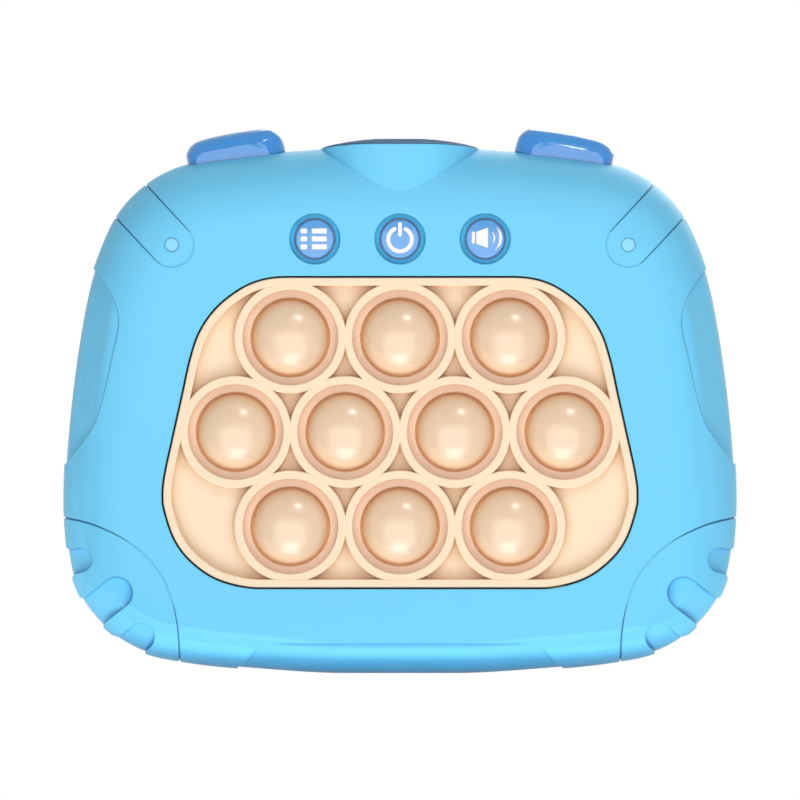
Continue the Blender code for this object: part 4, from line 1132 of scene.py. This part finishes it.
tray_opening_bottom = tray_top - cell_count * cell_pitch - 2 * fit_gap - cell_spare
tray_bottom = tray_opening_bottom - door_tab_room
inner_back = back_y - wall
door_front = back_y - door_thickness
tray_floor_y = door_front - 2 * fit_gap - 2 * cell_radius
screw_well_radius = 3.0 * mm
screw_well_depth = 13.0 * mm
screw_well_bottom = back_y - screw_well_depth
screw_bore_radius = 1.5 * mm
grille_radius = 1.0 * mm
grille_pitch = 4.0 * mm
grille_segments = 24
grille_ring_counts = (1, 6, 12)


def door_loop(margin):
    """The door's outline, grown by a margin: a rounded plate with a screw tongue on top."""
    low = tray_opening_bottom + fit_gap - margin
    high = tray_top + door_margin + margin
    tongue = door_tongue_radius + margin
    rise_turn = math.asin((high - door_screw_z) / tongue)
    corner_x = tray_half_length + door_margin + margin - door_corner
    loop = [
        *arc((corner_x, low + door_corner), door_corner, -quarter, quarter, door_corner_steps),
        *arc((corner_x, high - door_corner), door_corner, 0, quarter, door_corner_steps),
        *arc(door_screw_place[0], tongue, rise_turn, quarter - rise_turn, door_tongue_steps)]
    return loop + mirrored([point for point in loop if point.x > merge_distance])


def tray_block(name, margin, near_y, far_y, bottom):
    """A block round the battery tray, grown by a margin."""
    reach = tray_half_length + margin
    return block(name, (-reach, near_y, bottom - margin), (reach, far_y, tray_top + margin))


grille_places = [
    place for ring, count in enumerate(grille_ring_counts)
    for place in circle_loop(speaker_place[0], ring * grille_pitch, count)]
rear_cavity = cut(
    copied(case_cavity, "rear_cavity"),
    rods("rear_bosses", screw_places, rear_boss_radius, part_y + fit_gap / 2, through_back),
    tray_block("tray_block", tray_wall, tray_floor_y - tray_wall, through_back, tray_bottom),
    rods("speaker_ring", speaker_place, speaker_pocket_radius + speaker_ring_wall,
         inner_back - speaker_ring_length, through_back),
    rods("door_boss", door_screw_place, door_boss_radius, inner_back - door_boss_length,
         through_back),
    *groove_backs(back_y - groove_back_depth, through_back))
rear_shell = depth_slice("rear_shell", part_y + fit_gap / 2, through_back)
cut(
    rear_shell, rear_cavity,
    rods("speaker_pocket", speaker_place, speaker_pocket_radius,
         inner_back - speaker_ring_length - overrun, inner_back),
    rods("grille", grille_places, grille_radius, inner_back - fit_gap, through_back,
         grille_segments),
    tray_block("tray_hollow", 0, tray_floor_y, inner_back, tray_bottom),
    tray_block("tray_opening", 0, inner_back - fit_gap, through_back, tray_opening_bottom),
    slab("door_rebate", [door_loop(fit_gap)], door_front - fit_gap, through_back),
    rods("door_screw_bore", door_screw_place, door_bore_radius,
         door_screw_low.y - door_screw_spare, through_back),
    rods("screw_wells", screw_places, screw_well_radius, screw_well_bottom, through_back),
    rods("rear_screw_bores", screw_places, screw_bore_radius, part_y - overrun,
         screw_well_bottom + overrun),
    lens_hole, shoulder_slot(-1), shoulder_slot(1))
finish_piece(
    rear_shell, "rear_case", "case", case_blue, ("rear_shell",), case_crisp)
bpy.data.objects.remove(case_body, do_unlink=True)
bpy.data.objects.remove(case_cavity, do_unlink=True)

# %% [markdown]
# ## Silicone pad
# The pad is one soft moulding: a raised rim along the opening, and raised rings that run
# into each other round the bubbles. Between them lie deep pockets with soft corners. Rims
# and rings are closed tubes with rounded tops, joined to the thin web behind them.

# %% Build the pad
pad_low, pad_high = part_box("bubble_pad")
pad_top_y = pad_low.y
pad_web_depth = 2.9 * mm
pad_web_y = front_y + pad_web_depth
pad_flange = 2.6 * mm
pad_rim = 2.0 * mm
pad_gap = 0.2 * mm
root_sink = 0.2 * mm
root_y = pad_web_y + root_sink
ring_outer = 14.1 * mm
ring_bore = 12.0 * mm
ring_drop = 0.12 * mm
ring_segments = 119
rim_draft = 0.35 * mm
rim_round = 0.3 * mm
rim_steps = 4
seat_ease = 0.35 * mm
seat_radius = ring_bore + seat_ease
seat_segments = 96
bubble_names = [f"bubble_{number:02d}" for number in range(1, 11)]
bubble_boxes = [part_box(name) for name in bubble_names]
bubble_places = [middle_place(box) for box in bubble_boxes]
bubble_radius = (bubble_boxes[0][1].x - bubble_boxes[0][0].x) / 2
bubble_top_y = bubble_boxes[0][0].y


def rim_sections(outer, inner, top_y, outer_draft, inner_draft):
    """Closed section of a raised rim; its sides lean out by a draft down to its root."""
    return [
        (outer + outer_draft, root_y),
        *reversed(round_edge(outer, top_y, -rim_round, rim_round, rim_steps)),
        *round_edge(inner, top_y, rim_round, rim_round, rim_steps),
        (inner - inner_draft, root_y)]


def inside_loop(point, loop):
    """Whether a point lies inside a closed outline."""
    inside = False
    for start, end in around(loop):
        if (start.y > point.y) != (end.y > point.y):
            across = start.x + (end.x - start.x) * (point.y - start.y) / (end.y - start.y)
            inside ^= across > point.x
    return inside


def in_the_gap(middle):
    """1 for the bottom of the gap round the rim, which lies in shadow."""
    return int(middle.y > pad_top_y + rim_round and not inside_loop(middle.xz, gap_border))


rim_loop = offset_loop(opening_loop, -pad_gap)
gap_border = offset_loop(rim_loop, -rim_round / 4)
rim = stack(
    "pad_rim", [rim_loop], rim_sections(0, -pad_rim, pad_top_y, 0, rim_draft), True)
rings = [
    stack("pad_ring", [circle_loop(place, ring_outer, ring_segments, start=number)],
          rim_sections(0, ring_bore - ring_outer, pad_top_y + ring_drop, rim_draft, 0), True)
    for number, place in enumerate(bubble_places)]
seat_loops = [circle_loop(place, seat_radius, seat_segments) for place in bubble_places]
pad = slab("pad", [offset_loop(opening_loop, pad_flange), *seat_loops], pad_web_y, pad_high.y)
carve(pad, "UNION", rim, *rings)
finish_piece(pad, "silicone_pad", "case", silicone, ("bubble_pad",))
paint_faces(pad, [gap_shadow], in_the_gap)

# %% [markdown]
# ## Bubbles
# A bubble is a thin dome that stands in a sunk ring. When a finger presses it, the dome
# goes in and its skirt folds, while the ring stays. Each skin here is one spun shell of
# dome, skirt and sunk ring, in the place of the imported bubble.

# %% Spin the bubbles
ring_floor_depth = 3.3 * mm
ring_floor_y = front_y + ring_floor_depth
crease_depth = 3.7 * mm
crease_y = front_y + crease_depth
skin = 1.1 * mm
skin_lean_share = 0.6
skin_edge_gap = 0.05 * mm
fold_mm = ((0.12, 0.05), (0.3, -0.15))
ring_floor_start = 0.6 * mm
dome_steps = 16
spin_steps = 72


def spun(name, profile, centre, steps):
    """A profile of (radius, depth) points spun round an axis along Y."""
    shape = bmesh.new()
    corners = [
        shape.verts.new((centre[0] + radius, depth, centre[1])) for radius, depth in profile]
    edges = [shape.edges.new(pair) for pair in zip(corners, corners[1:])]
    bmesh.ops.spin(
        shape, geom=corners + edges, cent=(centre[0], 0, centre[1]), axis=(0, 1, 0),
        angle=4 * quarter, steps=steps, use_merge=True)
    bmesh.ops.remove_doubles(shape, verts=shape.verts, dist=merge_distance)
    return link_shape(name, shape)


def skin_profile():
    """Dome, skirt, sunk ring and the thin underside of a bubble."""
    rise = crease_y - bubble_top_y
    outside = [
        (bubble_radius * sine, crease_y - rise * cosine)
        for sine, cosine in quarter_turn(dome_steps)]
    outside += [(bubble_radius + out * mm, crease_y + down * mm) for out, down in fold_mm]
    outside += [
        (bubble_radius + ring_floor_start, ring_floor_y),
        (seat_radius - skin_edge_gap, ring_floor_y - skin_edge_gap)]
    inside = [
        (max(radius - skin * skin_lean_share, 0), depth + skin)
        for radius, depth in reversed(outside)]
    inside[0] = (outside[-1][0], outside[-1][1] + skin)
    return [*outside, *inside]


for name, place in zip(bubble_names, bubble_places):
    shell = spun(name + "_skin", skin_profile(), place, spin_steps)
    shell.data.shade_smooth()
    shell.data.set_sharp_from_angle(angle=sharp_angle)
    shell.data.materials.append(bubble_silicone)
    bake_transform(shell)
    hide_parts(name)
print("bubbles:", len(bubble_names))

# %% Spin the stems under the bubbles
stem_base_radius = 2.2 * mm
stem_end_share = 0.86
stem_bend = 1.2 * mm
stem_bend_shares = ((1, 0), (0.3, 0.5), (0, 1))
stem_steps = 32
stem_start_share = 0.9
stem_top_y = bubble_top_y + skin * stem_start_share


def stem_profile(far_y):
    """A stem that widens where it meets the underside of its dome."""
    bend = [
        (stem_base_radius + stem_bend * out, stem_top_y + stem_bend * down)
        for out, down in stem_bend_shares]
    return [(0, stem_top_y), *bend, (stem_base_radius * stem_end_share, far_y), (0, far_y)]


for name, place, box in zip(bubble_names, bubble_places, bubble_boxes):
    stem = spun(name + "_stem", stem_profile(box[1].y), place, stem_steps)
    finish_piece(stem, name + "_stem", name, bubble_silicone)

# %% [markdown]
# ## Round buttons
# The three caps are slightly crowned and gloss, each with a white symbol printed on it: a
# list for the menu, a power sign, and a loudspeaker. The prints are thin solids that follow
# the crown of the cap, so they stay sharp at any size.

# %% Spin the caps
cap_front_y = button_boxes[0][0].y
cap_back_y = button_boxes[0][1].y
cap_crown = 0.5 * mm
cap_edge = 0.45 * mm
cap_face_radius = cap_radius - cap_edge
cap_face_steps = 8
cap_edge_steps = 6
flange_radius = (button_boxes[0][1].x - button_boxes[0][0].x) / 2
flange_y = front_y + wall + fit_gap
flange = 1.0 * mm
stem_radius = 1.8 * mm


def crown_depth(radius):
    """How deep the face of a cap lies at a distance from its middle."""
    return cap_front_y + cap_crown * (radius / cap_radius) ** 2


def cap_profile():
    """Crowned face, rolled edge, flange behind the shell and stem to the switch."""
    radii = [cap_face_radius * step / cap_face_steps for step in range(cap_face_steps + 1)]
    face = [(radius, crown_depth(radius)) for radius in radii]
    rolled_edge = [
        (cap_face_radius + cap_edge * sine, face[-1][1] + cap_edge * (1 - cosine))
        for sine, cosine in quarter_turn(cap_edge_steps)[1:]]
    return [
        *face, *rolled_edge, (cap_radius, flange_y), (flange_radius, flange_y),
        (flange_radius, flange_y + flange), (stem_radius, flange_y + flange),
        (stem_radius, cap_back_y), (0, cap_back_y)]


for name, place in zip(button_nodes, button_places):
    cap = spun(name + "_cap", cap_profile(), place, spin_steps)
    finish_piece(cap, name + "_cap", name, button_blue, (name,))

# %% Draw the outlines of the symbols
corner_steps = 5
crescent_steps = 24


def rounded_box_loop(centre, half_x, half_z, corner):
    """A rectangle with round corners."""
    loop = []
    for turns, (sign_x, sign_z) in enumerate(((1, -1), (1, 1), (-1, 1), (-1, -1)), -1):
        middle = Vector(centre) + Vector((sign_x * (half_x - corner), sign_z * (half_z - corner)))
        loop += arc(middle, corner, turns * quarter, quarter, corner_steps)
    return loop


def arc_band_loop(centre, radius, width, start, end, steps):
    """A curved bar between two angles in degrees, with round ends."""
    turn, sweep = math.radians(start), math.radians(end - start)
    outer = arc(centre, radius + width / 2, turn, sweep, steps)
    inner = arc(centre, radius - width / 2, turn, sweep, steps)
    tip = arc((outer[-1] + inner[-1]) / 2, width / 2, turn + sweep, 2 * quarter, bend_steps)
    tail = arc(
        (outer[0] + inner[0]) / 2, width / 2, turn + 2 * quarter, 2 * quarter, bend_steps)
    return [*outer, *tip[1:-1], *reversed(inner), *tail[1:-1]]


def crescent_loop(centre, radius, width, start, end):
    """A curved bar between two angles in degrees, thick in the middle and pointed."""
    outer, inner = [], []
    bow = arc((0, 0), 1, math.radians(start), math.radians(end - start), crescent_steps)
    for step, along in enumerate(bow):
        half = width / 2 * math.sin(2 * quarter * step / crescent_steps)
        outer.append(Vector(centre) + along * (radius + half))
        inner.append(Vector(centre) + along * (radius - half))
    return outer + inner[-2:0:-1]


# Each symbol is drawn in mm round the middle of its cap.
menu_symbol_mm = [
    rounded_box_loop((x, z), half, 0.68, corner)
    for z in (-2.0, 0.0, 2.0) for x, half, corner in ((-2.75, 0.87, 0.42), (1.15, 1.92, 0.3))]
power_symbol_mm = [
    arc_band_loop((0, -0.15), 2.98, 1.08, 117, 423, 48),
    rounded_box_loop((0, 2.4), 0.52, 1.78, 0.35)]
cone_corners_mm = (
    (-2.3, -1.25), (0.55, -2.3), (0.75, -2.2), (0.75, 2.75), (0.55, 2.85), (-2.3, 1.8))
volume_symbol_mm = [
    rounded_box_loop((-3.0, 0.3), 0.42, 1.5, 0.2), [Vector(corner) for corner in cone_corners_mm],
    crescent_loop((0, 0.25), 2.3, 0.55, -44, 44), crescent_loop((-0.1, 0.25), 4.0, 0.8, -54, 48)]
symbols_mm = (menu_symbol_mm, power_symbol_mm, volume_symbol_mm)
print("outlines in each symbol:", [len(symbol) for symbol in symbols_mm])

# %% Print the symbols
ink = 0.05 * mm
ink_sunk = 0.05 * mm
print_edge = 0.6 * mm


def printed(name, symbol_mm, centre):
    """Ink in the shape of the outlines, laid on the crowned face of a cap."""
    shape = bmesh.new()
    for loop in symbol_mm:
        placed = [centre + point * mm for point in loop]
        add_stack(shape, placed, ((0, 0), (0, ink + ink_sunk)))
    long_edges = [edge for edge in shape.edges if edge.calc_length() > print_edge]
    bmesh.ops.subdivide_edges(shape, edges=long_edges, cuts=3, use_grid_fill=True)
    for corner in shape.verts:
        corner.co.y += crown_depth((corner.co.xz - centre).length) - ink
    return link_shape(name, shape)


for name, place, symbol_mm in zip(button_nodes, button_places, symbols_mm):
    ink_print = printed(name + "_print", symbol_mm, place)
    finish_piece(ink_print, name + "_print", name, print_white)

# %% [markdown]
# ## Shoulder buttons
# These are the glossiest pieces: deep blue, tinted plastic whose rounded edges catch sharp
# lights. A flat panel with its own outline lies at the front and the back of a cap, and
# the cap swells from it to its full outline.

# %% Build the shoulder buttons
shoulder_cap_shares = (
    (1.0, 0.0), (0.979, 0.3625), (0.922, 0.681), (0.766, 0.945), (0.474, 1.0), (-0.15, 0.963),
    (-0.67, 0.842), (-0.867, 0.678), (-0.956, 0.486), (-1.0, 0.28), (-0.992, 0.0))
shoulder_panel_shares = (
    (panel_end_shares[1], 0.0), (0.621, 0.363), (0.535, 0.494), (-0.702, 0.342),
    (-0.794, 0.21), (panel_end_shares[0], 0.0))
ear_drop = 4.6 * mm
ear_thickness = 1.6 * mm
core_margin = 2.0 * mm
plunger_half = 1.8 * mm
plunger_y = -0.8 * mm


def shoulder_knots(side, shares):
    """Places on a cap from shares of its half width and height."""
    return [
        shoulder_point(side, across * shoulder_half_width, up * shoulder_height)
        for across, up in shares]


def shoulder_root_corners(side, shares):
    """The two corners below the case that close an outline drawn from right to left."""
    return [
        shoulder_point(side, shares[end][0] * shoulder_half_width, -shoulder_root)
        for end in (-1, 0)]


def shoulder_rings(side):
    """A cap's outlines from the front panel to the back one, with their depths."""
    outer = smooth_chain(shoulder_knots(side, shoulder_cap_shares), outline_steps)
    outer += shoulder_root_corners(side, shoulder_cap_shares)
    border = shoulder_knots(side, shoulder_panel_shares)
    border += shoulder_root_corners(side, shoulder_panel_shares)
    middle = shoulder_point(side, 0, 0)
    panel = [crossing(middle, point, border) for point in outer]
    rings = []
    for end in (-1, 1):
        swell = [
            ([near.lerp(far, spread) for near, far in zip(panel, outer)],
             part_y + end * (shoulder_depth / 2 - depth * swell_depth))
            for spread, depth in swell_shares]
        rings += swell[::-end]
    return rings


def shoulder_inside(side, name):
    """The core and ears that hold a cap under the shell, and the plunger on its switch."""
    plunger_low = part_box(name)[0].z - shoulder_base.y
    return [
        shoulder_block(
            "core", side, shoulder_half_width - core_margin, -ear_drop - fit_gap, 0, part_y,
            ear_half_depth),
        shoulder_block(
            "ears", side, shoulder_half_width + ear_width, -ear_drop - ear_thickness, -ear_drop,
            part_y, ear_half_depth),
        shoulder_block(
            "plunger", side, plunger_half, plunger_low, -ear_drop - ear_thickness / 2,
            plunger_y, plunger_half)]


for side, name in ((-1, "left_shoulder_button"), (1, "right_shoulder_button")):
    cap_shape = bmesh.new()
    add_rings(cap_shape, shoulder_rings(side))
    cap = link_shape(name, cap_shape)
    carve(cap, "UNION", *shoulder_inside(side, name))
    finish_piece(cap, name + "_cap", name, shoulder_blue, (name,))

# %% [markdown]
# ## Lens on the turret
# A shallow lens of dark frosted plastic lies on the turret, and spreads the light of the
# lamp below it. It has a rolled rim and rises as a flat cone to a level middle, so from
# the front it shows as a dark sliver along the top.

# %% Spin the lens
lens_low_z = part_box("light_window")[0].z
lens_gap = 0.02 * mm
lens_seat = turret_top + lens_gap
lens_places_mm = (
    (0, 1.2), (3.0, 1.2), (6.2, 1.17), (9.5, 0.97), (13.0, 0.7), (16.5, 0.45), (18.5, 0.33),
    (19.2, 0.25), (19.5, 0.12), (19.6, 0))
lens_neck = turret_half_width * lens_neck_share
lens_profile = [(radius * mm, lens_seat + rise * mm) for radius, rise in lens_places_mm]
lens_profile += [(lens_neck, lens_seat), (lens_neck, lens_low_z), (0, lens_low_z)]
lens = spun("lens", lens_profile, (0, 0), turret_segments)
lens_oval = Matrix.Diagonal((1, turret_half_depth / turret_half_width, 1, 1))
lens.data.transform(Matrix.Translation((0, part_y, 0)) @ lens_oval @ upright)
sagged(lens)
finish_piece(lens, "top_lens", "case", lens_blue, ("light_window",))

# %% [markdown]
# ## Screws
# Cross-head screws with a domed head and a ridged shank. The cross is cut with the outline
# of a plus sign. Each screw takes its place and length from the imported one.

# %% Turn the screws
screw_dome_shares = ((0, 0), (0.55, 0.1), (0.85, 0.45), (1, 1))
screw_core_share = 0.78
thread_pitch = 1.1 * mm
thread_flank_share = 0.4
cross_reach_share = 0.62
cross_half_share = 0.13
cross_depth_share = 0.6
screw_sizes = (1.8 * mm, 1.2 * mm, 0.9 * mm)
door_screw_sizes = (0.6 * mm, 1.0 * mm, 0.15 * mm)


def cross_loop(centre, reach, half):
    """The outline of a plus sign."""
    arm = [Vector(corner) for corner in ((reach, -half), (reach, half), (half, half))]
    return [
        centre + Matrix.Rotation(turns * quarter, 2) @ corner
        for turns in range(4) for corner in arm]


def screw_profile(radius, top_y, head, shank, tip_y, dome):
    """Head at the top, ridged shank down to the tip; the head's edge is rounded by dome."""
    seat_y = top_y - head
    profile = [(radius * across, top_y - dome * down) for across, down in screw_dome_shares]
    profile += [(radius, seat_y), (shank, seat_y)]
    core = shank * screw_core_share
    for ridge in range(1, int((seat_y - tip_y) / thread_pitch)):
        crest_y = seat_y - ridge * thread_pitch
        profile += [(core, crest_y + thread_pitch * thread_flank_share), (shank, crest_y)]
    return [*profile, (core / 2, tip_y), (0, tip_y)]


def make_screw(name, head, shank, dome):
    """A screw in the place of a packed one, its head at the back."""
    low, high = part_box(name)
    place = middle_place((low, high))
    radius = (high.x - low.x) / 2
    profile = screw_profile(radius, high.y, head, shank, low.y, dome)
    screw = spun(name, profile, place, small_segments)
    cross = cross_loop(place, radius * cross_reach_share, radius * cross_half_share)
    cut(screw, slab("cross", [cross], high.y - head * cross_depth_share, through_back))
    finish_piece(screw, name + "_turned", "case", steel, (name,))


for name in nodes:
    if name.startswith(("case_screw", "board_screw")):
        make_screw(name, *screw_sizes)
make_screw("battery_door_screw", *door_screw_sizes)

# %% [markdown]
# ## Battery door
# A plate with a softly rounded edge, a sunk hole for its screw, a few grip ridges under a
# fingertip and two tabs that hook behind the case. It swings on those tabs.

# %% Build the battery door
door_round = 0.5 * mm
door_hole_radius = 1.3 * mm
door_sink_radius = (door_screw_high.x - door_screw_low.x) / 2 + fit_gap
door_sink_depth = 1.0 * mm
tab_spread = 15.0 * mm
tab_width = 6.0 * mm
tab_length = 2.2 * mm
tab_thickness = 1.2 * mm
tab_rise = 1.0 * mm
tab_back = inner_back - fit_gap
tab_front = tab_back - tab_thickness
ridge_count = 5
ridge_drop = 3.0 * mm
ridge_top = tray_top - ridge_drop
ridge_pitch = 2.4 * mm
ridge_half = 9.0 * mm
ridge_width = 1.0 * mm
ridge_corner_share = 0.49
ridge_corner = ridge_width * ridge_corner_share
ridge_depth = 0.5 * mm
door_bottom = door_low.z + tab_length
door = stack("door", [door_loop(0)], [
    *round_edge(0, back_y, -door_round, -door_round, roll_steps), (0, door_front)])
ridge_loops = [
    rounded_box_loop(
        (0, ridge_top - ridge * ridge_pitch), ridge_half, ridge_width / 2, ridge_corner)
    for ridge in range(ridge_count)]
cut(
    door,
    rods("door_hole", door_screw_place, door_hole_radius, door_front - overrun, through_back),
    rods("door_sink", door_screw_place, door_sink_radius, back_y - door_sink_depth, through_back),
    slab("grip_ridges", ridge_loops, back_y - ridge_depth, through_back))
for side in (-1, 1):
    left = side * tab_spread - tab_width / 2
    right = left + tab_width
    foot = block(
        "tab", (left, tab_front, door_low.z), (right, tab_back, door_bottom + tab_rise))
    riser = block(
        "riser", (left + fit_gap / 2, tab_front + fit_gap, door_bottom + tab_rise / 4),
        (right - fit_gap / 2, door_front + door_round, door_bottom + tab_rise * 3 / 4))
    carve(door, "UNION", foot, riser)
finish_piece(
    door, "battery_door_plate", "battery_door", case_blue, ("battery_door",))

# %% [markdown]
# ## Cells and contacts
# Three plain AAA cells in a two-colour sleeve, turned end for end. Each rests between a
# bump and a coil, so the coils are wound as real springs that narrow towards the cell.

# %% Make the cells
sleeve_green = moulded_finish("sleeve_green", (30, 104, 66), 0.3, coat=0.5)
sleeve_copper = moulded_finish("sleeve_copper", (206, 128, 66), 0.3, metallic=0.7)
copper_start_share = 0.2
cell_end_radius = cell_radius * 0.81
cell_names = ("battery_1", "battery_2", "battery_3")
cell_boxes = [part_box(name) for name in cell_names]
cell_middles = [(low + high) / 2 for low, high in cell_boxes]
cell_half = (cell_boxes[0][1].x - cell_boxes[0][0].x) / 2
cell_nub_length = 1.0 * mm
cell_segments = 64
minus_end_mm = (
    (0, 0), (4.2, 0), (4.62, 0.3), (4.725, 0.3), (4.935, 0.05), (5.1975, 0.15), (5.25, 0.5))
plus_end_mm = (
    (5.25, -0.6), (5.145, -0.2), (4.83, 0), (4.305, -0.02), (4.095, -0.35), (2.375, -0.35),
    (1.9, -0.1), (1.9, 0.75), (1.65, 1.0), (0, 1.0))


def laid(made, side, place):
    """Turn a piece spun round Y so that its far end points along X, and put it in place."""
    turn = Matrix.Rotation(-side * quarter, 4, "Z")
    made.data.transform(Matrix.Translation(place) @ turn)
    return made


def cell_profile():
    """Flat end, sleeve with rolled edges, and the plus end's nub, along the cell."""
    shoulder = cell_half - cell_nub_length
    return [
        *((radius * mm, rise * mm - cell_half) for radius, rise in minus_end_mm),
        (cell_radius, cell_half * copper_start_share),
        *((radius * mm, shoulder + rise * mm) for radius, rise in plus_end_mm)]


def cell_finish(middle):
    """Steel ends, green sleeve, copper band towards the plus end."""
    if middle.xz.length < cell_end_radius:
        return 2
    return int(middle.y > cell_half * copper_start_share)


for index, (name, middle) in enumerate(zip(cell_names, cell_middles)):
    cell = spun(name, cell_profile(), (0, 0), cell_segments)
    paint_faces(cell, [sleeve_green, sleeve_copper, steel], cell_finish)
    laid(cell, -1 if index % 2 == 0 else 1, middle)
    finish_piece(cell, name + "_cell", "case", None, (name,))

# %% Wind the contacts
contact_plate = 0.5 * mm
contact_half_height = 4.2 * mm
contact_corner = 1.2 * mm
contact_bevel = 0.1 * mm
contact_sections = (
    (-contact_bevel, -contact_plate / 2), (0, contact_bevel - contact_plate / 2),
    (0, contact_plate / 2 - contact_bevel), (-contact_bevel, contact_plate / 2))
coil_length = 3.0 * mm
coil_wire = 0.3 * mm
coil_wide = 3.2 * mm
coil_narrow = 2.2 * mm
coil_turns = 3.5
coil_turn_steps = 28
bump_length = 0.6 * mm
bump_radius = 1.6 * mm
bump_segments = 32
cell_y = cell_middles[0].y
contact_layout = (
    ("battery_contact_left_end", -1, (0,), ()), ("battery_contact_left_link", -1, (1, 2), (1,)),
    ("battery_contact_right_link", 1, (0, 1), (0,)), ("battery_contact_right_end", 1, (2,), (2,)))


def coil(side, plate_x, height):
    """A wire helix from the contact plate towards the cell, narrowing on its way."""
    steps = round(coil_turns * coil_turn_steps)
    path = []
    for step in range(steps + 1):
        share = step / steps
        turn = share * coil_turns * 4 * quarter
        radius = coil_wide - coil_wire + (coil_narrow - coil_wide) * share
        ahead = coil_wire + (coil_length - 2 * coil_wire) * share
        path.append((
            plate_x - side * ahead, cell_y + radius * math.cos(turn),
            height + radius * math.sin(turn)))
    return link_shape("coil", curve_shape(
        "coil", [path], False, dimensions="3D", bevel_depth=coil_wire, bevel_resolution=3,
        use_fill_caps=True))


def bump(side, plate_x, height):
    """A pressed bump on the contact plate, under the cell's nub."""
    profile = [
        (bump_radius * sine, bump_length * cosine) for sine, cosine in quarter_turn(bend_steps)]
    profile += [(bump_radius, -contact_bevel), (0, -contact_bevel)]
    pressed = spun("bump", profile, (0, 0), bump_segments)
    return laid(pressed, -side, (plate_x, cell_y, height))


def joined(name, parts):
    """Several shapes as the one mesh of one piece."""
    shape = bmesh.new()
    for part in parts:
        shape.from_mesh(part.data)
        bpy.data.objects.remove(part, do_unlink=True)
    return link_shape(name, shape)


def make_contact(name, side, cells, coils):
    """A sheet-metal plate with a coil or a bump for each cell that it touches."""
    low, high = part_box(name)
    outer_x = low.x if side < 0 else high.x
    face_x = outer_x - side * contact_plate
    heights = [cell_middles[cell].z for cell in cells]
    middle = (max(heights) + min(heights)) / 2
    half_span = (max(heights) - min(heights)) / 2 + contact_half_height
    outline = rounded_box_loop((0, 0), contact_half_height, half_span, contact_corner)
    plate = stack("plate", [outline], contact_sections)
    parts = [laid(plate, side, ((outer_x + face_x) / 2, cell_y, middle))]
    for cell, height in zip(cells, heights):
        spring = coil if cell in coils else bump
        parts.append(spring(side, face_x, height))
    finish_piece(joined(name, parts), name + "_sprung", "case", steel, (name,))


for layout in contact_layout:
    make_contact(*layout)

# %% [markdown]
# ## Loudspeaker
# Behind the grille sits a small driver: a steel frame, a rubber surround, a paper cone and
# a dust cap. It is one profile spun round; the frame is dark steel, and the cone, surround
# and dust cap share the paper finish.

# %% Spin the loudspeaker
cone_paper = moulded_finish("cone_paper", (58, 58, 62), 0.8, grain=0.06)
paper_radius = 11.7 * mm
paper_depth = 2.2 * mm
driver_profile_mm = (
    (0, -0.7), (1.5, -0.8), (2.8, -1.2), (3.6, -1.9), (3.8, -2.1), (9.3, -0.8), (9.6, -0.55),
    (10.0, -0.28), (10.5, -0.18), (11.0, -0.28), (11.4, -0.55), (11.6, -0.6), (11.8, 0),
    (12.8, 0), (13.0, -0.2), (13.0, -1.4), (9.5, -1.6), (7.3, -2.9), (7.0, -3.1), (7.0, -5.8),
    (6.8, -6.0), (0, -6.0))


def driver_finish(middle):
    """1 for the paper cone and the surround that face the grille, 0 for the frame."""
    radius = (middle.xz - speaker_place[0]).length
    return int(middle.y > speaker_high.y - paper_depth and radius < paper_radius)


driver = spun(
    "driver", [(radius * mm, speaker_high.y + depth * mm) for radius, depth in driver_profile_mm],
    speaker_place[0], spin_steps)
paint_faces(driver, [dark_steel, cone_paper], driver_finish)
finish_piece(driver, "speaker_driver", "case", None, ("speaker",))

# %% [markdown]
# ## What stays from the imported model
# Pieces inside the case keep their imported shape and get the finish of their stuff. A part's
# finish is found by the first of these words that its name holds.

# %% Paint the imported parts
inner_looks = {
    "main_board": ((24, 92, 58), 0.4), "pad_retainer": ((225, 225, 220), 0.5),
    "switch_sheet": ((150, 152, 155), 0.5), "led": ((245, 242, 225), 0.25),
    "switch": ((32, 32, 34), 0.5)}
inner_finishes = {
    kind: moulded_finish(kind + "_finish", *look) for kind, look in inner_looks.items()}
packed_shown = {name: node for name, node in nodes.items() if not node.hide_render}
for name, node in packed_shown.items():
    kind = next(kind for kind in inner_finishes if kind in name)
    for material_slot in node.material_slots:
        material_slot.material = inner_finishes[kind]
print("packed parts painted:", len(packed_shown))
